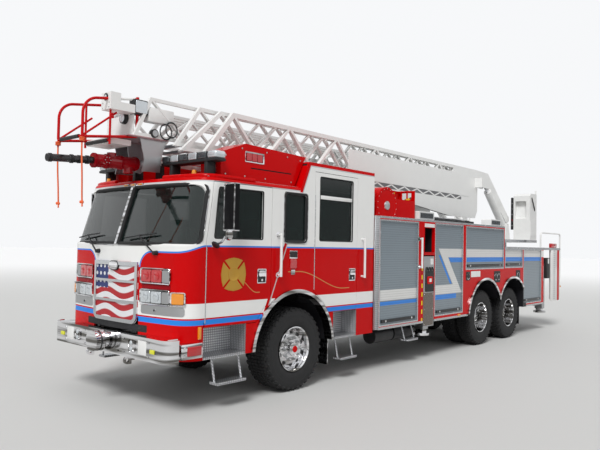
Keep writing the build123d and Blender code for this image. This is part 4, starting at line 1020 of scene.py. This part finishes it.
# Roof: the light bars in lens modules, lamps in the roof boxes, scene lamps' glasses, beacons
bar = {"x": (0.200, 1.230), "y": (-5.003, -4.838), "z": (2.825, 2.945), "modules": 6, "feet": (0.360, 1.010)}
bars = Form()
for half in bars.halves():
    (x0, x1), (y0, y1), (z0, z1) = bar["x"], bar["y"], bar["z"]
    half.box((x0 + 0.004, y0 + 0.004, z0), (x1 - 0.004, y1 - 0.004, z0 + 0.034), 0.008, 0)
    pitch = (x1 - x0) / bar["modules"]
    for i in range(bar["modules"]):
        first, second = x0 + pitch * i, x0 + pitch * (i + 1)
        half.box((first + 0.004, y0 + 0.001, z0 + 0.030), (second - 0.004, y1 - 0.001, z1 - 0.002),
                 0.030 if i in (0, bar["modules"] - 1) else 0.022, 2 if i % 2 else 3, 4)
        if i:
            half.box((first - 0.006, y0 + 0.003, z0 + 0.026), (first + 0.006, y1 - 0.003, z1 - 0.006), 0.004, 0)
        half.lathe([(0.0, 0.036), (0.016, 0.026), (0.026, 0.0)], (first + pitch / 2, y0 + 0.005, z0 + 0.07),
                   (0, 1, 0), 16, 1)
    for x in bar["feet"]:
        half.box((x, -4.990, 2.640), (x + 0.060, -4.860, 2.828), 0.010, 0)
        half.box((x - 0.01, -5.000, 2.640), (x + 0.070, -4.850, 2.652), 0.003, 1)
bars.finish("light_bar_lenses", "chassis", [blackPlastic, chrome, clearLens, smoked], "glass", ["light_bars"])

sceneLamps = ((-0.450, 0.060, 2.500), (2.380, 2.860, 2.490))  # front, rear, top
boxScrews = ((-4.76, 2.70), (-4.76, 2.92), (-4.50, 3.03), (-4.08, 3.03), (-3.70, 3.02), (-3.45, 3.00), (-3.62, 2.70),
             (-4.10, 2.70), (-4.45, 2.70))
roofTrim = Form()
for half in roofTrim.halves():
    half.tile((1.118, -4.450, 2.872), (1.128, -4.125, 3.006), 0.012, 0.003, 0, ((1, 0, 0), 0.014, 0.006, 1))
    for y in (-4.425, -4.333, -4.241):
        half.tile((1.120, y, 2.892), (1.130, y + 0.084, 2.986), 0.008, 0.003, 2)
    for y, z in boxScrews:
        half.stud((1.118, y, z), (0.0065, 0, 0), 0.010, 3, 8)
    for front, back, top in sceneLamps:
        half.tile((1.166, front + 0.028, 2.376), (1.176, back - 0.028, top - 0.016), 0.010, 0.002, 3,
                  ((1, 0, 0), 0.010, 0.005, 1))
        wide = (back - front - 0.09) / 3
        for y in (front + 0.045 + wide * i for i in range(3)):
            half.tile((1.168, y + 0.004, 2.390), (1.177, y + wide - 0.004, top - 0.028), 0.006, 0.002, 4)
    half.box((1.135, -5.050, 2.640), (1.160, -1.865, 2.646), 0.002, 3)
roofTrim.finish("roof_trim", "chassis", [chrome, blackPlastic, redLens, brushed, smoked], "chrome")

reel = {"x": 1.150, "middle": (-1.405, 2.535), "boltCircle": 0.262, "deck": 2.375}
reelFace = (reel["x"], *reel["middle"])
reelTrim = Form()
for y, z in around(reel["middle"], reel["boltCircle"], 18, -1.5):
    if z > reel["deck"]:
        reelTrim.stud((reel["x"] - 0.004, y, z), (0.010, 0, 0), 0.011, 0, 8, 0.007)
reelTrim.lathe([(0.0, 0.272), (0.005, 0.272), (0.005, 0.252), (0.0, 0.250)], reelFace, (1, 0, 0), 48, 1)
reelTrim.lathe([(0.0, 0.070), (0.012, 0.066), (0.020, 0.045), (0.022, 0.0)], reelFace, (1, 0, 0), 28, 0)
for finish, hose in (  # the hose with its nozzle, a cord with a ball, and a line over the deck
        (2, ((0.960, -1.09, 2.600), (0.960, -0.98, 2.665), (0.965, -0.84, 2.655), (0.975, -0.70, 2.648),
             (0.990, -0.58, 2.675))),
        (2, ((1.0, -0.433, 2.60), (1.0, -0.41, 2.53), (1.0, -0.38, 2.47), (1.0, -0.36, 2.40), (1.0, -0.36, 2.36))),
        (3, ((0.96, -0.90, 2.77), (0.55, -0.94, 2.73), (0.0, -0.90, 2.70), (-0.68, -0.93, 2.69)))):
    reelTrim.pipe(hose, 0.017 if hose[0][0] < 1 else 0.016, finish)
reelTrim.rod((0.990, -0.60, 2.672), (1.000, -0.51, 2.690), 0.026, 3, 20, 0.030)
reelTrim.rod((1.000, -0.51, 2.690), (1.008, -0.44, 2.704), 0.032, 2, 20, 0.036)
bmesh.ops.create_uvsphere(reelTrim.mesh, u_segments=16, v_segments=10, radius=0.034,
                          matrix=Matrix.Translation((1.0, -0.433, 2.622)))
reelTrim.finish("hose_reel_trim", "chassis", [brushed, redPaint, blackPlastic, yellowPlastic], "aluminium")
print("roof made")

# Body: the stabilizer bay's gear, locker latches, lamps and plates at the rear
fillers = (((1.130, 1.300), (1.290, 1.450), (1.215,)),  # along, height, lids
           ((2.365, 2.660), (1.210, 1.440), (2.445, 2.580)),
           ((3.480, 3.710), (1.220, 1.440), (3.595,)))
flank = {"bay": 1.243, "plates": 1.249, "latch": 1.244, "latchIn": 0.17, "latchUp": 0.05}
for label, side in bothSides:
    bay, plates = Form(side), Form(side)
    x = flank["bay"]
    bay.tile((x, -0.350, 1.140), (x + 0.010, -0.075, 1.490), 0.020, 0.003, 1)
    for y in (-0.305, -0.215, -0.125):  # straps looped over the case's top
        bay.pipe([(x + 0.006, y - 0.034, 1.470), (x + 0.008, y - 0.034, 1.520), (x + 0.008, y, 1.562),
                  (x + 0.008, y + 0.034, 1.520), (x + 0.006, y + 0.034, 1.470)], 0.009, 1)
    bay.tile((x + 0.006, -0.305, 1.270), (x + 0.020, -0.125, 1.400), 0.024, 0.005, 2)
    bay.tile((x + 0.018, -0.245, 1.305), (x + 0.022, -0.175, 1.365), 0.008, 0.001, 4)
    bay.tile((x, -0.180, 1.600), (x + 0.005, -0.090, 1.700), 0.004, 0.001, 4)
    bay.tile((x, -0.400, 0.575), (x + 0.004, -0.075, 1.125), 0.008, 0.001, 5)
    for y in (-0.380, -0.095):
        for z in (0.60, 0.85, 1.10):
            bay.stud((x, y, z), (0.007, 0, 0), 0.008, 0, 8)
    bay.finish(f"bay_gear_{label}", f"stabilizer_beam_front_{label}",
               [chrome, blackPlastic, redPaint, brushed, whitePaint, darkSteel], "stainless")
    x = flank["plates"]
    for (y0, y1), (z0, z1), lids in fillers:
        plates.tile((x, y0, z0), (x + 0.006, y1, z1), 0.014, 0.002, 1)
        out = min(0.068, (z1 - z0) / 2 - 0.014)
        for spot in ((x, y, (z0 + z1) / 2) for y in lids):  # filler lids in chrome rims
            plates.lathe([(0.004, out), (0.012, out), (0.014, out - 0.005), (0.012, out - 0.011),
                          (0.004, out - 0.011), (0.004, out)], spot, (1, 0, 0), 28, 0)
            plates.lathe([(0.0, out - 0.011), (0.009, out - 0.012), (0.011, out - 0.022), (0.012, 0.0)], spot,
                         (1, 0, 0), 28, 1)
    plates.tile((x, 1.340, 1.345), (x + 0.004, 1.735, 1.455), 0.006, 0.001, 2)
    plates.tile((x, -0.400, 2.232), (x + 0.006, -0.070, 2.292), 0.006, 0.001, 2)
    for edge in (-0.408, -0.068):
        plates.box((x, edge, 1.80), (x + 0.005, edge + 0.006, 2.228), 0, 3)
    for z in (1.800, 2.222):
        plates.box((x, -0.408, z), (x + 0.005, -0.062, z + 0.006), 0, 3)
    for y0, y1, bottom, top in lockers:  # the shutters' lift bars with their two latch studs
        for y in (y0 + flank["latchIn"], y1 - flank["latchIn"]):
            plates.stud((flank["latch"], y, bottom + flank["latchUp"]), (0.007, 0, 0), 0.018)
    for y in (5.068, 5.100):  # a tall tail lamp, red over clear, at the body's last corner
        plates.tile((x, y - 0.030, 1.150), (x + 0.010, y - 0.004, 1.520), 0.006, 0.002, 5)
    plates.tile((x, 5.040, 0.820), (x + 0.014, 5.110, 0.960), 0.012, 0.004, 5)
    plates.finish(f"body_plates_{label}", "chassis", [chrome, blackPlastic, whitePaint, redPaint, clearLens, redLens],
                  "chrome")

rearLamps = Form()
rearLamps.box((1.222, 5.630, 0.660), (1.2485, 6.050, 1.890), 0.004, 5)
for z in (0.700 + 0.050 * i for i in range(24)):  # the access ladder's white side channel, with its ticks
    rearLamps.tile((1.2475, 5.790, z), (1.2495, 5.900, z + 0.022), 0.006, 0, 4)
rearLamps.box((1.224, 6.050, 0.660), (1.2485, 6.190, 1.890), 0.004, 6)  # and its red edge
rearLamps.pipe([(1.215, 6.240, 1.060), (1.218, 6.280, 1.020), (1.222, 6.325, 0.990)], 0.008, 7)
rearLamps.rod((1.222, 6.318, 0.992), (1.224, 6.348, 0.982), 0.024, 2, 16, 0.018)
for half in rearLamps.halves():
    half.box((1.150, 5.360, 1.210), (1.240, 5.570, 1.700), 0.010, 7)
    half.tile((1.239, 5.430, 1.560), (1.246, 5.500, 1.680), 0.006, 0.001, 5)
    half.box((1.130, 5.800, 1.940), (1.200, 6.160, 2.050), 0.014, 1)
    for finish, z in ((1, 1.62), (2, 1.44), (3, 1.26)):
        half.tile((0.840, 5.118, z), (1.060, 5.134, z + 0.150), 0.016, 0.003, 0, ((0, 1, 0), 0.014, 0.006, finish))
    half.tile((0.84, 5.118, 0.98), (1.20, 5.126, 1.20), 0.010, 0.002, 4)
    half.tile((0.545, 6.148, 1.68), (0.700, 6.166, 1.83), 0.016, 0.003, 1)
    for x in (0.09 + 0.13 * i for i in range(5)):
        for z in (1.08, 1.86):
            half.stud((x, 6.148, z), (0, 0.008, 0), 0.009, 0, 8)
rearLamps.finish("rear_lamps", "chassis",
                 [chrome, redLens, amberLens, clearLens, brushed, whitePaint, redPaint, blackPlastic], "chrome")

# A ribbed cover over the body's middle, with chrome tubes along it
hoseBed = {"slats": 11, "start": 0.10, "pitch": 0.2, "tubes": (-0.62, -0.30, 0.30, 0.62)}
cover = Form()
for i in range(hoseBed["slats"]):
    y = hoseBed["start"] + hoseBed["pitch"] * i
    cover.box((-0.85, y, 2.350), (0.85, y + 0.186, 2.448 if i % 2 else 2.436), 0.012, 0)
cover.box((-0.83, 0.12, 2.350), (0.83, 2.28, 2.425), 0.004, 0)
for x in hoseBed["tubes"]:
    cover.pipe([(x, y, z) for y, z in ((0.02, 2.35), (0.02, 2.468), (0.20, 2.470), (1.2, 2.470), (2.20, 2.470),
                                       (2.38, 2.468), (2.38, 2.35))], 0.015, 1)
cover.finish("hose_bed_cover", "chassis", [blackPlastic, chrome], "dark_plastic")
print("body made")

# Ladder: lamps, grips and the camera at the tip, the monitor's fittings, the console's controls
tipPlate = ((-5.365, 3.120), (-4.990, 3.120), (-5.057, 2.904), (-5.072, 2.731), (-5.331, 2.722), (-5.297, 2.875))
tip = Form()
tip.lathe([(0.0, 0.0), (0.0, 0.066), (0.014, 0.069), (0.046, 0.064), (0.052, 0.056), (0.050, 0.0)],
          (0.120, -5.462, 3.345), (0, -1, 0), 36, 0)
tip.lathe([(0.0, 0.0), (0.0, 0.054), (0.005, 0.050), (0.007, 0.0)], (0.120, -5.510, 3.345), (0, -1, 0), 36, 1)
tip.box((0.205, -5.280, 3.320), (0.326, -4.910, 3.500), 0.016, 2)
tip.box((0.205, -5.480, 3.380), (0.326, -5.284, 3.560), 0.020, 0)
tip.tile((0.324, -5.462, 3.398), (0.332, -5.302, 3.542), 0.016, 0.003, 1)
for half in tip.halves():
    half.slab([(0.277, y, z) for y, z in tipPlate], (0.008, 0, 0), 3)
    for z in (2.984, 2.999, 3.014):  # the ropes' turns round the tip's corner
        half.lathe([(0.0, 0.018), (0.007, 0.026), (0.0, 0.034), (-0.007, 0.026), (0.0, 0.018)],
                   (*rope["hook"][:2], z), (0, 0, 1), 20, 4)
tip.stud((-0.266, -6.090, 3.040), (0.532, 0, 0), 0.012, 5)
tip.stud((-0.200, -6.090, 3.040), (0.400, 0, 0), 0.022, 0, 20)
tip.stud((-0.235, -5.753, 3.040), (0.470, 0, 0), 0.022, 0, 20)
for y, z in ((-5.040, 3.225), (-4.957, 3.262)):  # cable loops and the motor beside the tip's plate
    tip.lathe([(0.0, 0.082), (0.009, 0.092), (0.0, 0.102), (-0.009, 0.092), (0.0, 0.082)], (0.342, y, z),
              (1, 0.1, 0), 28, 0)
tip.stud((0.300, -5.200, 3.185), (0.048, 0, 0), 0.052, 0, 28)
tip.stud((0.346, -5.200, 3.185), (0.008, 0, 0), 0.038, 3, 28)
for x in (-0.20, 0.20):
    for y in (-5.62, -5.50):
        tip.stud((x, y, 3.073), (0, 0, 0.008), 0.012, 3, 10)
for x in (0.165, 0.295):
    for z in (3.405, 3.460):
        tip.stud((x, -5.786, z), (0, -0.010, 0), 0.007, 3, 8)
tip.lathe([(0.0, 0.0), (0.0, 0.040), (0.010, 0.042), (0.014, 0.034), (0.012, 0.0)], (0.230, -5.788, 3.528),
          (0, -1, 0), 24, 0)
tip.lathe([(0.0, 0.0), (0.0, 0.026), (0.004, 0.020), (0.006, 0.0)], (0.230, -5.800, 3.528), (0, -1, 0), 24, 1)
tip.finish("tip_fittings", "ladder_fly", [blackPlastic, clearLens, whitePaint, brushed, ropeOrange, redPaint],
           "dark_plastic")

nozzle = Form()
for y, radius in ((-5.86, 0.050), (-5.96, 0.047), (-6.05, 0.050), (-6.30, 0.049)):
    nozzle.stud((0, y, 2.822 + (5.80 + y) * 0.058), (0, -0.030, -0.0017), radius, 0, 28)
for y in (-5.235, -5.43, -5.62, -5.775):
    nozzle.stud((0, y, 2.840 + (5.215 + y) * 0.0308), (0, -0.026, -0.0008), 0.087, 1, 28)
for half in nozzle.halves():
    half.lathe([(0.0, 0.0), (0.0, 0.050), (0.014, 0.052), (0.018, 0.040), (0.022, 0.0)], (0.118, -5.690, 2.824),
               (1, 0, 0), 24, 1)
    for spot in around((-5.690, 2.824), 0.034, 6):
        half.stud((0.134, *spot), (0.012, 0, 0), 0.006, 2, 6)
nozzle.finish("monitor_fittings", "ladder_fly", [blackPaint, darkRed, brushed], "black_metal")

controls = Form()
controls.tile((0.624, 4.702, 2.350), (0.686, 4.714, 3.110), 0.012, 0.002, 1)
for z in (2.45, 2.58, 2.71, 2.84, 2.97):
    controls.stud((0.655, 4.704, z), (0, -0.010, 0), 0.012, 3 if z == 2.58 else 0, 12)
controls.pipe([(1.082, 4.800, 3.100), (1.096, 4.815, 3.030), (1.100, 4.860, 2.950), (1.098, 4.930, 2.860),
               (1.084, 4.980, 2.800)], 0.012, 1)
controls.tile((1.078, 4.740, 2.200), (1.086, 5.070, 2.560), 0.012, 0.002, 2)
for z in (2.260, 2.500):
    controls.stud((1.084, 4.765, z), (0.008, 0, 0), 0.012, 2, 12)
controls.finish("console_controls", "turntable", [brushed, blackPlastic, whitePaint, redLens], "dark_plastic")
print("ladder made")

# Seats: padded cushions and backs on hard pedestals
seat = {"rows": ((0.76, -3.860, 1.350, 1.440), (-0.76, -3.860, 1.350, 1.440), (0.86, -1.925, 1.060, 1.380),
                 (0.29, -1.925, 1.060, 1.380), (-0.29, -1.925, 1.060, 1.380), (-0.86, -1.925, 1.060, 1.380)),
        "cushion": (0.480, 0.520, 0.120), "back": (0.480, 0.130, 0.720), "start": 0.014, "cap": 0.026, "voxel": 0.010,
        "pressure": 4.0, "frames": 20, "channels": (-0.105, 0.105), "channel": 0.011, "piping": 0.0055}


def clothLook(place):  # a woven cover, lighter on its threads
    x, y, z = place.axes()
    weave = abs(((x + z) * 700.0).sine() * ((y + z) * 700.0).sine())
    return {"Base Color": (weave * 0.5 + place.noise(6.0) * 0.3).pick(tint(34, 36, 42), tint(70, 73, 80)),
            "Roughness": place.noise(40.0) * 0.1 + 0.82, "Normal": weave.bump(0.4, 0.0012)}


seatCloth = makeMaterial("seatCloth", {}, clothLook)
seatPiping = makeMaterial("seatPiping", {}, plainLook(tint(96, 98, 104), 0.6, 500.0))


def shaped(pad):  # the pad's mesh as its modifiers leave it
    graph = bpy.context.evaluated_depsgraph_get()
    return bpy.data.meshes.new_from_object(pad.evaluated_get(graph))


def padForm(name, size, narrow, face):  # one pad about its own middle, swollen by a cloth simulation
    half = Vector(size) / 2
    small = half - Vector((seat["start"],) * 3)
    start = Form()
    start.box(-small, small, 0.030, 0, 3)
    for v in start.mesh.verts:  # backs are narrower at the shoulders
        v.co.x *= 1 - narrow * max(0.0, v.co.z / small.z) ** 2
    data = bpy.data.meshes.new(name)
    start.mesh.to_mesh(data)
    start.mesh.free()
    pad = bpy.data.objects.new(name, data)
    scene.collection.objects.link(pad)
    remesh = pad.modifiers.new("remesh", "REMESH")
    remesh.mode = "VOXEL"
    remesh.voxel_size = seat["voxel"]
    even = shaped(pad)
    pad.modifiers.clear()
    pad.data = even
    before = [v.co.copy() for v in even.vertices]
    cloth = pad.modifiers.new("cloth", "CLOTH")
    cloth.settings.use_pressure = True
    cloth.settings.uniform_pressure_force = seat["pressure"]
    cloth.settings.effector_weights.gravity = 0.0
    for step in range(seat["frames"]):
        scene.frame_set(step + 1)
    even = shaped(pad)
    scene.frame_set(1)
    form = Form()
    form.mesh.from_mesh(even)
    bpy.data.objects.remove(pad)
    for v, was in zip(form.mesh.verts, before):
        moved = v.co - was
        if moved.length > seat["cap"]:
            v.co = was + moved * (seat["cap"] / moved.length)
    axis = face.index(max(face, key=abs))
    deep = seat["channel"]
    for v in form.mesh.verts:  # sewn channels in the face, then the pad is kept within its place
        front = max(0.0, v.co[axis] * face[axis] / half[axis] - 0.4) / 0.6
        for line in seat["channels"]:
            v.co[axis] -= face[axis] * deep * front * math.exp(-((v.co.x - line) / deep) ** 2)
        for i in range(3):
            v.co[i] = max(-half[i], min(half[i], v.co[i]))
    form.mesh.normal_update()
    surface = BVHTree.FromBMesh(form.mesh)
    first, second = (i for i in range(3) if i != axis)
    rim = []
    for a, b in ((-1, -0.8), (-1, 0.8), (-0.8, 1), (0, 1), (0.8, 1), (1, 0.8), (1, 0), (1, -0.8), (0.8, -1), (0, -1),
                 (-0.8, -1)):
        spot = Vector((0, 0, 0))
        spot[axis] = face[axis] * half[axis] * 0.8
        spot[first], spot[second] = a * half[first], b * half[second]
        if second == 2:
            spot.x *= 1 - narrow * max(0.0, b) ** 2
        rim.append(surface.find_nearest(spot)[0])
    form.pipe(rim, seat["piping"], 1, 2, closed=True)
    whole = bpy.data.meshes.new(name)
    form.mesh.to_mesh(whole)
    form.mesh.free()
    return whole


cushionForm = padForm("cushionForm", seat["cushion"], 0.0, (0, 0, 1))
backForm = padForm("backForm", seat["back"], 0.14, (0, -1, 0))
pedestals = Form()
for i, (x, backY, foot, top) in enumerate(seat["rows"]):
    for part, shape, place in (("cushion", cushionForm, (x, backY - 0.300, top + 0.060)),
                               ("back", backForm, (x, backY - 0.085, top + 0.460))):
        pad = Form()
        pad.mesh.from_mesh(shape)
        bmesh.ops.translate(pad.mesh, verts=pad.mesh.verts, vec=place)
        piece = pad.finish(f"seat_{part}_{i + 1}", "chassis", [seatCloth, seatPiping], "seat_cloth", ["seats"], 80)
    pedestals.box((x - 0.18, backY - 0.48, foot), (x + 0.18, backY - 0.06, top - 0.02), 0.012, 0)
    pedestals.box((x - 0.225, backY - 0.535, top - 0.03), (x + 0.225, backY - 0.05, top + 0.004), 0.008, 0)
    for z in (top + 0.20, top + 0.44):
        pedestals.stud((x - 0.150, backY - 0.022, z), (0.300, 0, 0), 0.012, 1, 12)
    for push in (-0.15, 0.15):
        pedestals.rod((x + push, backY - 0.030, top - 0.02), (x + push, backY - 0.022, top + 0.60), 0.012, 1, 12)
pedestals.finish("seat_pedestals", "chassis", [blackPaint, brushed], "black_metal", ["seats"])
print("seats made")
